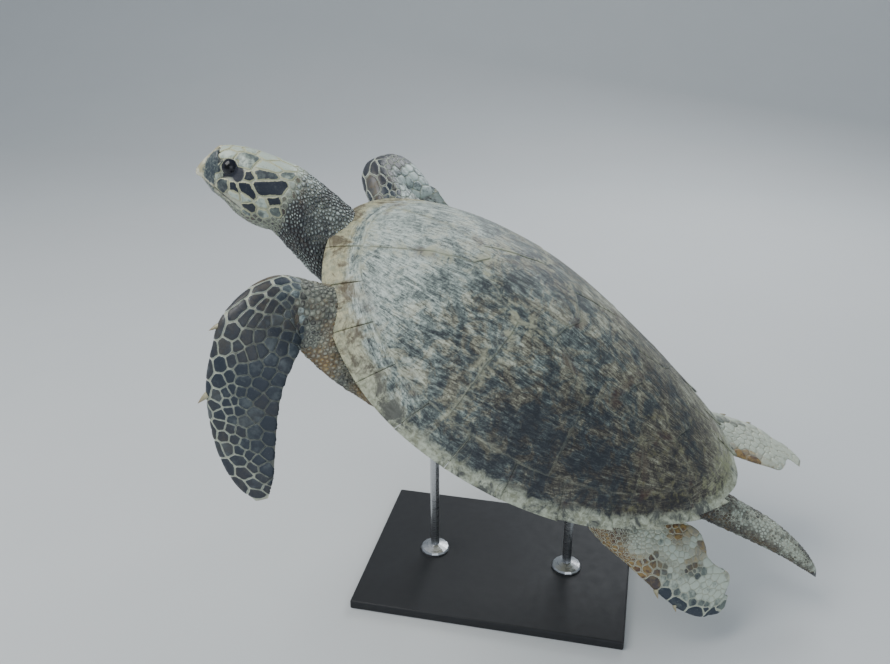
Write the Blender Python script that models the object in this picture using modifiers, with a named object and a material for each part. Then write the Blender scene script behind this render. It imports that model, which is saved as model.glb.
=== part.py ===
"""Life-size hawksbill sea turtle, a still model in a gliding pose on a display stand.

Metres, +Z up. The turtle is modelled in its own body frame: +X is its left side, -Y is the
way it heads and +Z its back, with the origin at the middle of the carapace on the rim plane.
An empty then banks it and lifts its nose. The world origin is under the middle of the base.
"""
import math

import bmesh
import bpy
import numpy as np
from mathutils import Matrix, Vector

# driving dimensions
SHELL_LENGTH = 0.76
SHELL_WIDTH = 0.548
DOME_HEIGHT = 0.145
FRONT_LIFT = 0.033
REAR_LIFT = 0.050
SCUTE_THICK = 0.007
PLASTRON_DEPTH = 0.102
PLASTRON_THICK = 0.008
HEAD_LENGTH = 0.150
EYE_RADIUS = 0.0145
NOSE_UP = math.radians(32)
BANK = math.radians(16)
BODY_HEIGHT = 0.41
BODY_FORWARD = 0.035
HEAD_YAW = math.radians(6.5)
HEAD_PITCH = math.radians(11)
BEAK_TIP = (0.040, -0.609, -0.017)
BASE_SIZE = (0.34, 0.46, 0.016)
ROD_RADIUS = 0.008
ROD_SPACING = 0.24
GAP = 0.0003

# the polar grid that the shell, the trunk and the plastron share
STATIONS = 52
NUCHAL_STATIONS = 2
RINGS = (0.0, 0.2, 0.42, 0.65, 0.86, 0.935, 1.0)
MARGINAL_RING = 4


# ---------------------------------------------------------------- scene and materials

def clear_scene():
    for obj in list(bpy.data.objects):
        bpy.data.objects.remove(obj)


def collection(name):
    made = bpy.data.collections.new(name)
    bpy.context.scene.collection.children.link(made)
    return made


clear_scene()
PARTS = collection("hawksbill_sea_turtle")
CUTTERS = collection("cutters")


def material(name, colour, roughness, metallic=0.0):
    made = bpy.data.materials.new(name)
    made.use_nodes = True
    shader = made.node_tree.nodes["Principled BSDF"]
    shader.inputs["Base Color"].default_value = (*colour, 1.0)
    shader.inputs["Roughness"].default_value = roughness
    shader.inputs["Metallic"].default_value = metallic
    return made


def mesh_object(name, points, faces, colour, roughness, parent, where=PARTS):
    mesh = bpy.data.meshes.new(name)
    mesh.from_pydata([tuple(p) for p in points], [], faces)
    bm = bmesh.new()
    bm.from_mesh(mesh)
    bmesh.ops.recalc_face_normals(bm, faces=bm.faces)
    bm.to_mesh(mesh)
    bm.free()
    mesh.shade_smooth()
    mesh.set_sharp_from_angle(angle=math.radians(40))
    mesh.materials.append(material(name, colour, roughness))
    obj = bpy.data.objects.new(name, mesh)
    where.objects.link(obj)
    obj.parent = parent
    return obj


def empty(name, matrix, parent=None):
    obj = bpy.data.objects.new(name, None)
    PARTS.objects.link(obj)
    obj.parent = parent
    obj.matrix_basis = matrix
    return obj


BODY = empty(
    "body_pose",
    Matrix.Translation((0, BODY_FORWARD, BODY_HEIGHT))
    @ Matrix.Rotation(-NOSE_UP, 4, "X")
    @ Matrix.Rotation(BANK, 4, "Y"),
)


# ---------------------------------------------------------------- general builders

def tube_faces(rings, around, start_pole, end_pole):
    """Quads between rings, closed by a fan to a pole point or by one flat face at each end."""
    faces = []
    for i in range(rings - 1):
        for k in range(around):
            n = (k + 1) % around
            faces.append((i * around + k, i * around + n, (i + 1) * around + n, (i + 1) * around + k))
    last = (rings - 1) * around
    if start_pole is None:
        faces.append(tuple(range(around)))
    else:
        faces += [(start_pole, (k + 1) % around, k) for k in range(around)]
    if end_pole is None:
        faces.append(tuple(last + k for k in range(around)))
    else:
        faces += [(end_pole, last + k, last + (k + 1) % around) for k in range(around)]
    return faces


def loft(name, rings, colour, roughness, start=None, end=None, parent=None):
    """Closed solid through rings of equal count, with flat ends or ends drawn to a point."""
    count, around = len(rings), len(rings[0])
    points = [p for ring in rings for p in ring]
    start_pole = end_pole = None
    if start is not None:
        start_pole = len(points)
        points.append(start)
    if end is not None:
        end_pole = len(points)
        points.append(end)
    faces = tube_faces(count, around, start_pole, end_pole)
    return mesh_object(name, points, faces, colour, roughness, parent or BODY)


def spline(rows, s):
    """Catmull-Rom curve through the rows, read at parameter s from 0 to 1."""
    rows = np.asarray(rows, float)
    padded = np.vstack([2 * rows[0] - rows[1], rows, 2 * rows[-1] - rows[-2]])
    u = np.clip(np.atleast_1d(s), 0, 1) * (len(rows) - 1)
    i = np.minimum(u.astype(int), len(rows) - 2)
    f = (u - i)[:, None]
    a, b, c, d = (padded[i + k] for k in range(4))
    return 0.5 * (2 * b + (c - a) * f + (2 * a - 5 * b + 4 * c - d) * f**2 + (3 * b - a - 3 * c + d) * f**3)


def unit(v):
    return v / np.linalg.norm(v, axis=-1, keepdims=True)


def grown(obj, distance):
    """Cutter copy of obj, pushed out along its normals so that it leaves a gap."""
    mesh = obj.data.copy()
    bm = bmesh.new()
    bm.from_mesh(mesh)
    bm.normal_update()
    shifts = [v.normal * distance * min(v.calc_shell_factor(), 1.6) for v in bm.verts]
    for v, shift in zip(bm.verts, shifts):
        v.co += shift
    bm.to_mesh(mesh)
    bm.free()
    cutter = bpy.data.objects.new(obj.name + "_cutter", mesh)
    CUTTERS.objects.link(cutter)
    cutter.parent = obj.parent
    cutter.hide_render = True
    cutter.display_type = "WIRE"
    return cutter


def cut(obj, *cutters, solver="EXACT"):
    """Subtract each cutter from obj and keep the result as its mesh."""
    for cutter in cutters:
        modifier = obj.modifiers.new("cut", "BOOLEAN")
        modifier.operation = "DIFFERENCE"
        modifier.solver = solver
        modifier.object = cutter
    bake(obj)


def bake(obj):
    bpy.context.view_layer.update()
    evaluated = obj.evaluated_get(bpy.context.evaluated_depsgraph_get())
    mesh = bpy.data.meshes.new_from_object(evaluated)
    obj.modifiers.clear()
    obj.data = mesh
    bm = bmesh.new()
    bm.from_mesh(mesh)
    bmesh.ops.remove_doubles(bm, verts=bm.verts, dist=0.000004)
    bmesh.ops.dissolve_degenerate(bm, edges=bm.edges, dist=0.000002)
    bm.to_mesh(mesh)
    bm.free()


def loose_parts(obj):
    """Split obj into one object for each connected body and return them."""
    bm = bmesh.new()
    bm.from_mesh(obj.data)
    groups, seen = [], set()
    for seed in bm.verts:
        if seed in seen:
            continue
        group, stack = set(), [seed]
        while stack:
            v = stack.pop()
            if v in group:
                continue
            group.add(v)
            stack.extend(e.other_vert(v) for e in v.link_edges)
        seen |= group
        groups.append([v.index for v in group])
    bm.free()
    made = []
    for group in groups:
        keep = {index: n for n, index in enumerate(sorted(group))}
        points = [obj.data.vertices[i].co.copy() for i in sorted(group)]
        faces = [tuple(keep[i] for i in p.vertices) for p in obj.data.polygons if p.vertices[0] in keep]
        made.append((np.array([tuple(p) for p in points]), faces))
    bpy.data.objects.remove(obj)
    return made


# ---------------------------------------------------------------- carapace form

def half_width(t):
    """Half width of the carapace at t, 0 at its front edge and 1 at its rear edge."""
    def shape(angle):
        return np.sin(angle) ** 1.07 * (1 + 0.128 * np.cos(angle))
    angle = np.arccos(np.clip(1 - 2 * np.asarray(t, float), -1, 1))
    widest = shape(np.linspace(0, math.pi, 721)).max()
    return SHELL_WIDTH / 2 * shape(angle) / widest


def dome(x, y):
    """Height of the back over the rim plane: rim lift plus an arched dome."""
    t = np.clip(y / SHELL_LENGTH + 0.5, 0, 1)
    rim = FRONT_LIFT * np.clip((0.35 - t) / 0.35, 0, 1) ** 2 + REAR_LIFT * np.clip((t - 0.55) / 0.45, 0, 1) ** 2
    front = 1 - np.abs((0.41 - t) / 0.41) ** 2.4
    rear = 1 - np.abs((t - 0.41) / 0.59) ** 1.9
    arch = np.where(t < 0.41, front, rear)
    across = np.clip(np.abs(x) / np.maximum(half_width(t), 1e-4), 0, 1)
    return rim + DOME_HEIGHT * arch * (1 - across**1.85)


def belly(x, y):
    """Height of the flesh under the body: flat in the middle, drawn up to all its edges."""
    along = np.abs(y + 0.01) / 0.33
    across = np.abs(x) / 0.24
    return -PLASTRON_DEPTH + 0.030 * along**3 + 0.045 * across**3


def outline(phi):
    """Plan outline of the carapace at angle phi, 0 at the front and pi at the rear."""
    t = (1 - np.cos(phi)) / 2
    x = half_width(t) * np.where(np.sin(phi) < 0, -1, 1)
    return np.stack([x, (t - 0.5) * SHELL_LENGTH], -1)


def tooth(phi):
    """Outward step of the rear marginals: each ends in a point at its rear corner."""
    station = np.abs((phi + math.pi) % (2 * math.pi) - math.pi) / math.pi * STATIONS / 2
    corner = 0.5 + 0.5 * np.cos(math.pi * (station - NUCHAL_STATIONS))
    rear = np.clip((station - 13) / 6, 0, 1) * np.clip((26.4 - station) / 1.4, 0, 1)
    return 1 + 0.017 * corner * rear


def plan(ring, phi):
    """Plan point at a ring factor and angle; the marginal seam runs wider at the sides."""
    bend = np.interp(ring, (0.65, 0.86, 1.0), (0.0, 1.0, 0.0))
    factor = ring + 0.02 * np.cos(2 * phi) * bend
    factor = factor * np.where(ring > 0.99, tooth(phi), 1.0)
    return outline(phi) * factor[..., None]


def angles(first, last, inset_first=0.0, inset_last=0.0):
    phi = np.arange(first, last + 1) * 2 * math.pi / STATIONS
    phi[0] += inset_first
    phi[-1] -= inset_last
    return phi


def shell_heights(points):
    """Top of the scutes, with the edge held at the rim height."""
    return dome(points[..., 0], points[..., 1])


def scute_thickness(ring):
    return np.interp(ring, (0.0, 0.86, 1.0), (SCUTE_THICK, SCUTE_THICK * 0.85, SCUTE_THICK * 0.5))


def halves(quad):
    """A grid cell as two triangles: every sheet takes the same diagonal, so that sheets nest."""
    a, b, c, d = quad
    return [(a, b, c), (a, c, d)]


def slab(name, rings, phi, top, under, colour, roughness, where=PARTS):
    """Closed plate between two height functions over rings x angles of the plan grid.

    A full circle of angles gives a disc or a ring, and fewer a sector with flat ends."""
    full = len(phi) == STATIONS
    rings = np.asarray(rings, float)
    disc = rings[0] == 0.0
    body = rings[1:] if disc else rings
    r, a = np.meshgrid(body, phi, indexing="ij")
    flat = plan(r, a)
    count, around = r.shape
    upper = np.dstack([flat, top(r, flat)]).reshape(-1, 3)
    lower = np.dstack([flat, under(r, flat)]).reshape(-1, 3)
    points = np.vstack([upper, lower])
    half = count * around
    faces = []
    steps = around if full else around - 1
    for i in range(count - 1):
        for k in range(steps):
            n = (k + 1) % around
            sheet = halves((i * around + k, i * around + n, (i + 1) * around + n, (i + 1) * around + k))
            faces += sheet
            faces += [tuple(half + q for q in reversed(face)) for face in sheet]
    outer = (count - 1) * around
    for k in range(steps):
        n = (k + 1) % around
        faces.append((outer + k, outer + n, half + outer + n, half + outer + k))
        if not disc:
            faces.append((n, k, half + k, half + n))
    if not full:
        for i in range(count - 1):
            for k in (0, around - 1):
                low, high = i * around + k, (i + 1) * around + k
                faces.append((low, high, half + high, half + low))
    if disc:
        centre = np.zeros((1, 1, 2))
        zero = np.zeros((1, 1))
        points = np.vstack([points, [0, 0, top(zero, centre)[0, 0]], [0, 0, under(zero, centre)[0, 0]]])
        for k in range(steps):
            n = (k + 1) % around
            faces.append((len(points) - 2, k, n))
            faces.append((len(points) - 1, half + n, half + k))
    return mesh_object(name, points, faces, colour, roughness, BODY, where)


# ---------------------------------------------------------------- scutes

SHELL_COLOUR = (0.20, 0.22, 0.19)
RIM_COLOUR = (0.33, 0.31, 0.22)
SKIN_DARK = (0.05, 0.06, 0.08)
SKIN_PALE = (0.42, 0.42, 0.33)

# seam corners of the left half: (x / length, t)
SPINE_POINTS = (0.30, 0.52, 0.70, 0.842)
CHAIN = ((0.085, 0.045), (0.030, 0.275), (0.101, 0.41), (0.074, 0.487), (0.137, 0.60),
         (0.076, 0.672), (0.115, 0.755), (0.060, 0.818), (0.118, 0.96))
COSTAL_SEAMS = (((0.101, 0.41), (0.36, 0.385)), ((0.137, 0.60), (0.36, 0.625)),
                ((0.115, 0.755), (0.32, 0.835)))


def shell_top(ring, flat):
    return shell_heights(flat)


def shell_under(ring, flat):
    return shell_heights(flat) - scute_thickness(ring)


def saw(route):
    """Upright wall, one gap thick, that follows a route given in (x / length, t)."""
    route = [Vector((x * SHELL_LENGTH, (t - 0.5) * SHELL_LENGTH)) for x, t in route]
    sides = []
    for i, point in enumerate(route):
        before = (point - route[max(i - 1, 0)]).normalized()
        after = (route[min(i + 1, len(route) - 1)] - point).normalized()
        tangent = (before + after).normalized()
        normal = Vector((-tangent.y, tangent.x))
        widen = 1 / max(normal.dot(Vector((-after.y, after.x))) if after.length else 1.0, 0.5)
        sides.append((point + normal * GAP / 2 * widen, point - normal * GAP / 2 * widen))
    points, faces = [], []
    for left, right in sides:
        for flat in (left, right):
            points += [(flat.x, flat.y, -0.05), (flat.x, flat.y, 0.25)]
    for i in range(len(route) - 1):
        a, b = 4 * i, 4 * i + 4
        faces += [(a, b, b + 1, a + 1), (a + 2, a + 3, b + 3, b + 2), (a + 1, b + 1, b + 3, a + 3), (a, a + 2, b + 2, b)]
    last = 4 * (len(route) - 1)
    faces += [(0, 1, 3, 2), (last, last + 2, last + 3, last + 1)]
    wall = mesh_object("seam_wall", points, faces, SHELL_COLOUR, 0.5, BODY, CUTTERS)
    wall.hide_render = True
    wall.display_type = "WIRE"
    return wall


def scutes():
    """Thirteen vertebral and costal scutes: one domed disc, sawn along its seams."""
    inner_edge = RINGS[MARGINAL_RING] - GAP / 0.6
    rings = RINGS[:MARGINAL_RING] + (inner_edge,)
    disc = slab("disc", rings, angles(0, STATIONS - 1), shell_top, shell_under, SHELL_COLOUR, 0.5)
    walls = []
    for side in (1, -1):
        walls.append(saw([(side * x, t) for x, t in CHAIN]))
        walls += [saw([(side * x, t) for x, t in seam]) for seam in COSTAL_SEAMS]
    for n, t in enumerate(SPINE_POINTS):
        x, start = CHAIN[1 + 2 * n]
        walls.append(saw([(-x, start), (0, t), (x, start)]))
    cut(disc, *walls)
    # names by the place of each piece: vertebrals lie on the midline
    vertebral_t = (0.15, 0.41, 0.61, 0.78, 0.90)
    costal_t = (0.22, 0.50, 0.70, 0.88)
    for points, faces in loose_parts(disc):
        x = points[:, 0].mean() / SHELL_LENGTH
        t = (points[:, 1].min() + points[:, 1].max()) / 2 / SHELL_LENGTH + 0.5
        row = vertebral_t if abs(x) < 0.02 else costal_t
        number = 1 + int(np.argmin([abs(t - v) for v in row]))
        name = "vertebral" if abs(x) < 0.02 else ("costal_left" if x > 0 else "costal_right")
        mesh_object(f"{name}_{number}", points, faces, SHELL_COLOUR, 0.5, BODY)


def marginals():
    """The nuchal scute at the front and the two rows of marginals, cut at the rear midline."""
    rings = (RINGS[MARGINAL_RING],) + RINGS[MARGINAL_RING + 1:]
    step = GAP / SHELL_WIDTH
    slab("nuchal", rings, angles(-NUCHAL_STATIONS, NUCHAL_STATIONS, step, step),
         shell_top, shell_under, SHELL_COLOUR, 0.5)
    rear = STATIONS // 2
    slab("marginals_left", rings, angles(NUCHAL_STATIONS, rear, step, step * 4),
         shell_top, shell_under, RIM_COLOUR, 0.5)
    slab("marginals_right", rings, angles(rear, STATIONS - NUCHAL_STATIONS, step * 4, step),
         shell_top, shell_under, RIM_COLOUR, 0.5)


# ---------------------------------------------------------------- trunk and plastron

def plastron_reach(phi):
    """Edge of the plastron as a ring factor: narrow at both ends, wide at the bridges."""
    side = np.abs(np.sin(phi)) ** 2.5
    return 0.62 + 0.08 * side + 0.05 * np.clip(np.cos(phi), 0, 1)


def trunk():
    """The flesh under the shell, which follows the scutes' underside and rounds to the belly."""
    phi = angles(0, STATIONS - 1)
    points = [(0, 0, float(dome(0.0, 0.0) - SCUTE_THICK - GAP))]
    for ring in RINGS[1:MARGINAL_RING]:
        flat = plan(np.full_like(phi, ring), phi)
        points += list(np.column_stack([flat, shell_under(ring, flat) - GAP]))
    edge = RINGS[MARGINAL_RING] - 0.002
    flat = plan(np.full_like(phi, edge), phi)
    rim = shell_under(edge, flat) - 2 * GAP
    points += list(np.column_stack([flat, rim]))
    reach = plastron_reach(phi)
    for blend in (0.10, 0.45, 0.85):
        factor = (edge + 0.004) * (1 - blend) + reach * blend
        flat = outline(phi) * factor[:, None]
        foot = belly(*(outline(phi) * reach[:, None]).T)
        drop = blend**0.85
        points += list(np.column_stack([flat, (rim - 0.004) * (1 - drop) + (foot + 0.004) * drop]))
    for share in (1.0, 0.66, 0.33):
        flat = outline(phi) * (reach * share)[:, None]
        points += list(np.column_stack([flat, belly(*flat.T)]))
    points.append((0, 0, float(belly(0.0, 0.0))))
    around, faces = STATIONS, []
    count = (len(points) - 2) // around
    for i in range(count - 1):
        for k in range(around):
            n = (k + 1) % around
            a = 1 + i * around
            faces += halves((a + k, a + n, a + around + n, a + around + k))
    last = 1 + (count - 1) * around
    for k in range(around):
        n = (k + 1) % around
        faces.append((0, 1 + n, 1 + k))
        faces.append((len(points) - 1, last + k, last + n))
    return mesh_object("trunk", points, faces, SKIN_PALE, 0.6, BODY)


def plastron():
    """The belly plate: it follows the trunk's belly grid and thins towards its edge."""
    phi = angles(0, STATIONS - 1)
    reach = plastron_reach(phi)
    upper, lower = [], []
    for share in (0.33, 0.66, 1.0):
        flat = outline(phi) * (reach * share)[:, None]
        top = belly(*flat.T) - GAP
        upper += list(np.column_stack([flat, top]))
        thick = PLASTRON_THICK * (1 - 0.45 * share**4)
        lower += list(np.column_stack([flat, top - thick]))
    top = float(belly(0.0, 0.0)) - GAP
    points = upper + lower + [(0, 0, top), (0, 0, top - PLASTRON_THICK)]
    half, around, faces = len(upper), STATIONS, []
    for k in range(around):
        n = (k + 1) % around
        for i in range(2):
            sheet = halves((i * around + n, i * around + k, (i + 1) * around + k, (i + 1) * around + n))
            faces += sheet + [tuple(half + q for q in reversed(face)) for face in sheet]
        outer = 2 * around
        faces.append((outer + k, outer + n, half + outer + n, half + outer + k))
        faces.append((len(points) - 2, k, n))
        faces.append((len(points) - 1, half + n, half + k))
    return mesh_object("plastron", points, faces, (0.62, 0.57, 0.42), 0.5, BODY)


# ---------------------------------------------------------------- limbs

def paddle_rings(stations, count, around, mirror=1, ease=False):
    """Lens-shaped rings along a limb.

    Each station is centre (x, y, z), chord vector from trailing to leading edge (x, y, z)
    and thickness; the rings are read from a smooth curve through them. With ease the limb's
    direction comes from the centres averaged with their neighbours, for a lobed rear edge."""
    rows = spline(stations, np.linspace(0, 1, count))
    centre, chord, thick = rows[:, :3], rows[:, 3:6], rows[:, 6]
    route = np.array(stations)[:, :3]
    if ease:
        route[1:-1] = (route[:-2] + 2 * route[1:-1] + route[2:]) / 4
    along = unit(np.gradient(spline(route, np.linspace(0, 1, count)), axis=0))
    chord = chord - along * (chord * along).sum(1, keepdims=True) * 0.7
    normal = unit(np.cross(chord, along))
    a = np.linspace(0, 2 * math.pi, around, endpoint=False)
    across = np.sign(np.cos(a)) * np.abs(np.cos(a)) ** 0.9 / 2
    up = np.sin(a) * (1 + 0.35 * np.cos(a)) / 2
    rings = (centre[:, None] + chord[:, None] * across[None, :, None]
             + normal[:, None] * (thick[:, None] * up[None])[..., None])
    rings[..., 0] *= mirror
    return rings, centre * [mirror, 1, 1], chord * [mirror, 1, 1], along * [mirror, 1, 1]


def limb(names, stations, split, count, around, colours, mirror, tip, ease=False):
    """Two closed lengths of one limb, parted at ring number split."""
    rings, centre, chord, along = paddle_rings(stations, count, around, mirror, ease)
    end = centre[-1] + along[-1] * tip
    upper = rings[:split + 1].copy()
    lower = rings[split:].copy()
    upper[-1] -= along[split] * GAP / 2
    lower[0] += along[split] * GAP / 2
    first = loft(names[0], upper, colours[0], 0.6)
    second = loft(names[1], lower, colours[1], 0.6, end=end)
    return first, second, centre, chord, along


def claw(name, root, way, length, radius):
    """Small pointed cone that stands on the leading edge."""
    bm = bmesh.new()
    bmesh.ops.create_cone(bm, cap_ends=True, segments=6, radius1=radius, radius2=radius * 0.12, depth=length)
    mesh = bpy.data.meshes.new(name)
    bm.to_mesh(mesh)
    bm.free()
    mesh.materials.append(material(name, (0.55, 0.50, 0.36), 0.35))
    obj = bpy.data.objects.new(name, mesh)
    PARTS.objects.link(obj)
    obj.parent = BODY
    way = Vector(way).normalized()
    turn = way.to_track_quat("Z", "Y").to_matrix().to_4x4()
    obj.matrix_basis = Matrix.Translation(Vector(root) + way * length * 0.3) @ turn
    return obj


# each station: centre, chord from trailing to leading edge, thickness (right side mirrored in x)
FRONT_LEFT = (
    (0.119, -0.197, -0.036, -0.172, -0.114, 0.039, 0.076),
    (0.165, -0.285, -0.010, -0.114, -0.098, 0.048, 0.066),
    (0.201, -0.357, 0.012, -0.036, -0.090, 0.051, 0.054),
    (0.246, -0.366, 0.009, 0.064, -0.106, 0.012, 0.036),
    (0.280, -0.357, -0.016, 0.058, -0.100, -0.036, 0.024),
    (0.304, -0.345, -0.050, 0.046, -0.091, -0.044, 0.019),
    (0.323, -0.324, -0.087, 0.040, -0.080, -0.043, 0.015),
    (0.342, -0.293, -0.127, 0.035, -0.068, -0.035, 0.011),
    (0.360, -0.260, -0.154, 0.025, -0.048, -0.024, 0.008),
    (0.370, -0.233, -0.175, 0.008, -0.016, -0.008, 0.004),
)
FRONT_RIGHT = (
    (0.119, -0.197, -0.038, -0.172, -0.114, 0.036, 0.076),
    (0.162, -0.301, -0.015, -0.105, -0.121, 0.042, 0.066),
    (0.198, -0.358, -0.012, -0.019, -0.105, 0.040, 0.054),
    (0.266, -0.340, -0.018, 0.070, -0.095, -0.028, 0.036),
    (0.292, -0.336, -0.048, 0.059, -0.085, -0.075, 0.024),
    (0.307, -0.323, -0.064, 0.043, -0.070, -0.078, 0.019),
    (0.324, -0.294, -0.088, 0.038, -0.060, -0.074, 0.015),
    (0.343, -0.249, -0.111, 0.033, -0.050, -0.060, 0.011),
    (0.360, -0.210, -0.125, 0.024, -0.036, -0.042, 0.008),
    (0.371, -0.178, -0.133, 0.007, -0.012, -0.014, 0.004),
)
HIND_LEFT = (
    (0.100, 0.190, -0.034, 0.080, -0.090, -0.018, 0.080),
    (0.124, 0.259, -0.041, 0.100, -0.075, -0.027, 0.061),
    (0.128, 0.318, -0.047, 0.104, -0.051, -0.037, 0.035),
    (0.127, 0.366, -0.051, 0.113, -0.036, -0.047, 0.021),
    (0.137, 0.403, -0.062, 0.091, -0.022, -0.041, 0.014),
    (0.134, 0.432, -0.066, 0.083, -0.017, -0.039, 0.011),
    (0.126, 0.456, -0.067, 0.074, -0.015, -0.035, 0.008),
    (0.133, 0.466, -0.073, 0.039, -0.008, -0.019, 0.006),
    (0.126, 0.476, -0.071, 0.023, -0.004, -0.012, 0.004),
)
HIND_RIGHT = (
    (0.095, 0.190, -0.058, 0.070, -0.088, -0.020, 0.080),
    (0.126, 0.262, -0.044, 0.090, -0.072, -0.018, 0.060),
    (0.143, 0.332, -0.024, 0.089, -0.043, -0.018, 0.030),
    (0.153, 0.380, -0.012, 0.097, -0.031, -0.020, 0.019),
    (0.159, 0.425, 0.000, 0.103, -0.026, -0.020, 0.013),
    (0.161, 0.454, 0.007, 0.094, -0.022, -0.018, 0.010),
    (0.162, 0.473, 0.011, 0.082, -0.018, -0.017, 0.008),
    (0.177, 0.492, 0.013, 0.038, -0.008, -0.008, 0.006),
    (0.165, 0.518, 0.020, 0.023, -0.005, -0.005, 0.004),
)


def front_flippers():
    made = []
    for side, mirror, stations in (("left", 1, FRONT_LEFT), ("right", -1, FRONT_RIGHT)):
        names = (f"front_arm_{side}", f"front_flipper_{side}")
        arm, blade, centre, chord, along = limb(
            names, stations, 7, 19, 12, (SKIN_PALE, SKIN_DARK), mirror, 0.003)
        for number, (ring, length, radius) in enumerate(((7, 0.015, 0.0045), (11, 0.019, 0.0058)), 1):
            edge = centre[ring] + chord[ring] * 0.5
            way = unit(chord[ring]) + along[ring] * 0.8
            nail = claw(f"front_claw_{side}_{number}", edge, way, length, radius)
            cut(nail, grown(blade, GAP), grown(arm, GAP))
        made.append(arm)
    return made


def hind_flippers():
    made = []
    for side, mirror, stations in (("left", 1, HIND_LEFT), ("right", -1, HIND_RIGHT)):
        names = (f"hind_thigh_{side}", f"hind_flipper_{side}")
        thigh, foot, centre, chord, along = limb(
            names, stations, 5, 17, 12, (SKIN_PALE, SKIN_DARK), mirror, 0.003, ease=True)
        for number, (ring, length, radius) in enumerate(((6, 0.013, 0.0042), (8, 0.010, 0.0032)), 1):
            edge = centre[ring] + chord[ring] * 0.5
            way = unit(chord[ring]) + along[ring] * 1.1
            nail = claw(f"hind_claw_{side}_{number}", edge, way, length, radius)
            cut(nail, grown(foot, GAP))
        made.append(thigh)
    return made


def tail():
    """Long thick tail of a grown male: it droops a little and ends in a horny nail."""
    route = ((0.0, 0.280, -0.036, 0.046), (0.0, 0.350, -0.030, 0.035), (0.0, 0.420, -0.022, 0.028),
             (0.0, 0.485, -0.012, 0.0245), (0.0, 0.540, -0.012, 0.018), (0.0, 0.580, -0.019, 0.0115),
             (0.0, 0.600, -0.025, 0.006))
    rows = spline(route, np.linspace(0, 1, 9))
    centre, radius = rows[:, :3], rows[:, 3]
    along = unit(np.gradient(centre, axis=0))
    side = np.array([1.0, 0, 0])
    up = np.cross(side, along)
    a = np.linspace(0, 2 * math.pi, 12, endpoint=False)
    rings = centre[:, None] + radius[:, None, None] * (
        np.cos(a)[None, :, None] * side + np.sin(a)[None, :, None] * up[:, None])
    made = loft("tail", rings, SKIN_PALE, 0.6)
    base = rings[-1] + along[-1] * GAP
    loft("tail_nail", [base, base * 0.6 + (centre[-1] + along[-1] * 0.004) * 0.4 + along[-1] * 0.003],
         (0.02, 0.02, 0.03), 0.3, end=centre[-1] + along[-1] * 0.013 + np.array([0, 0, -0.002]))
    return made


# ---------------------------------------------------------------- head and neck

def head_frame():
    """Matrix of the head in the body frame: x to its left, y to its back, origin at the beak tip."""
    ahead = Vector((math.sin(HEAD_YAW) * math.cos(HEAD_PITCH),
                    -math.cos(HEAD_YAW) * math.cos(HEAD_PITCH), math.sin(HEAD_PITCH)))
    left = Vector((0, 0, 1)).cross(ahead).normalized()
    up = ahead.cross(left)
    world = Matrix((left, -ahead, up)).transposed()
    posed = Matrix.Rotation(-NOSE_UP, 3, "X") @ Matrix.Rotation(BANK, 3, "Y")
    return Matrix.Translation(BEAK_TIP) @ (posed.transposed() @ world).to_4x4()


HEAD = empty("head_pose", head_frame(), BODY)

# head sections: distance behind the beak tip, top, bottom, half width, backward lean of the top
HEAD_SECTIONS = (
    (0.0035, 0.006, -0.0035, 0.0035, 0.0),
    (0.008, 0.0145, -0.0045, 0.0075, 0.0),
    (0.015, 0.0245, -0.0070, 0.0125, 0.0),
    (0.024, 0.0355, -0.0165, 0.0180, 0.0),
    (0.034, 0.0475, -0.0255, 0.0245, 0.0),
    (0.045, 0.0520, -0.0305, 0.0315, 0.0),
    (0.058, 0.0540, -0.0375, 0.0375, 0.0),
    (0.074, 0.0548, -0.0490, 0.0430, 0.05),
    (0.092, 0.0532, -0.0565, 0.0475, 0.15),
    (0.112, 0.0495, -0.0620, 0.0500, 0.28),
    (0.132, 0.0450, -0.0650, 0.0500, 0.40),
    (HEAD_LENGTH, 0.0400, -0.0670, 0.0495, 0.50),
)
HEAD_AROUND = 16


def head_rings():
    rings = []
    a = np.linspace(0, 2 * math.pi, HEAD_AROUND, endpoint=False)
    for back, top, bottom, half, lean in HEAD_SECTIONS:
        middle, rise = (top + bottom) / 2, (top - bottom) / 2
        x = half * np.sign(np.cos(a)) * np.abs(np.cos(a)) ** 0.9
        z = middle + rise * np.sin(a)
        y = back + lean * (z - middle) * 0.55
        rings.append(np.column_stack([x, y, z]))
    return rings


def wall(name, corners, parent):
    """Thin cutting wall through four corners."""
    corners = [Vector(c) for c in corners]
    normal = (corners[1] - corners[0]).cross(corners[3] - corners[0]).normalized() * GAP / 2
    points = [c + normal for c in corners] + [c - normal for c in corners]
    faces = [(0, 1, 2, 3), (7, 6, 5, 4)] + [(i, (i + 1) % 4, 4 + (i + 1) % 4, 4 + i) for i in range(4)]
    obj = mesh_object(name, points, faces, SKIN_DARK, 0.5, parent, CUTTERS)
    obj.hide_render = True
    obj.display_type = "WIRE"
    return obj


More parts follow.
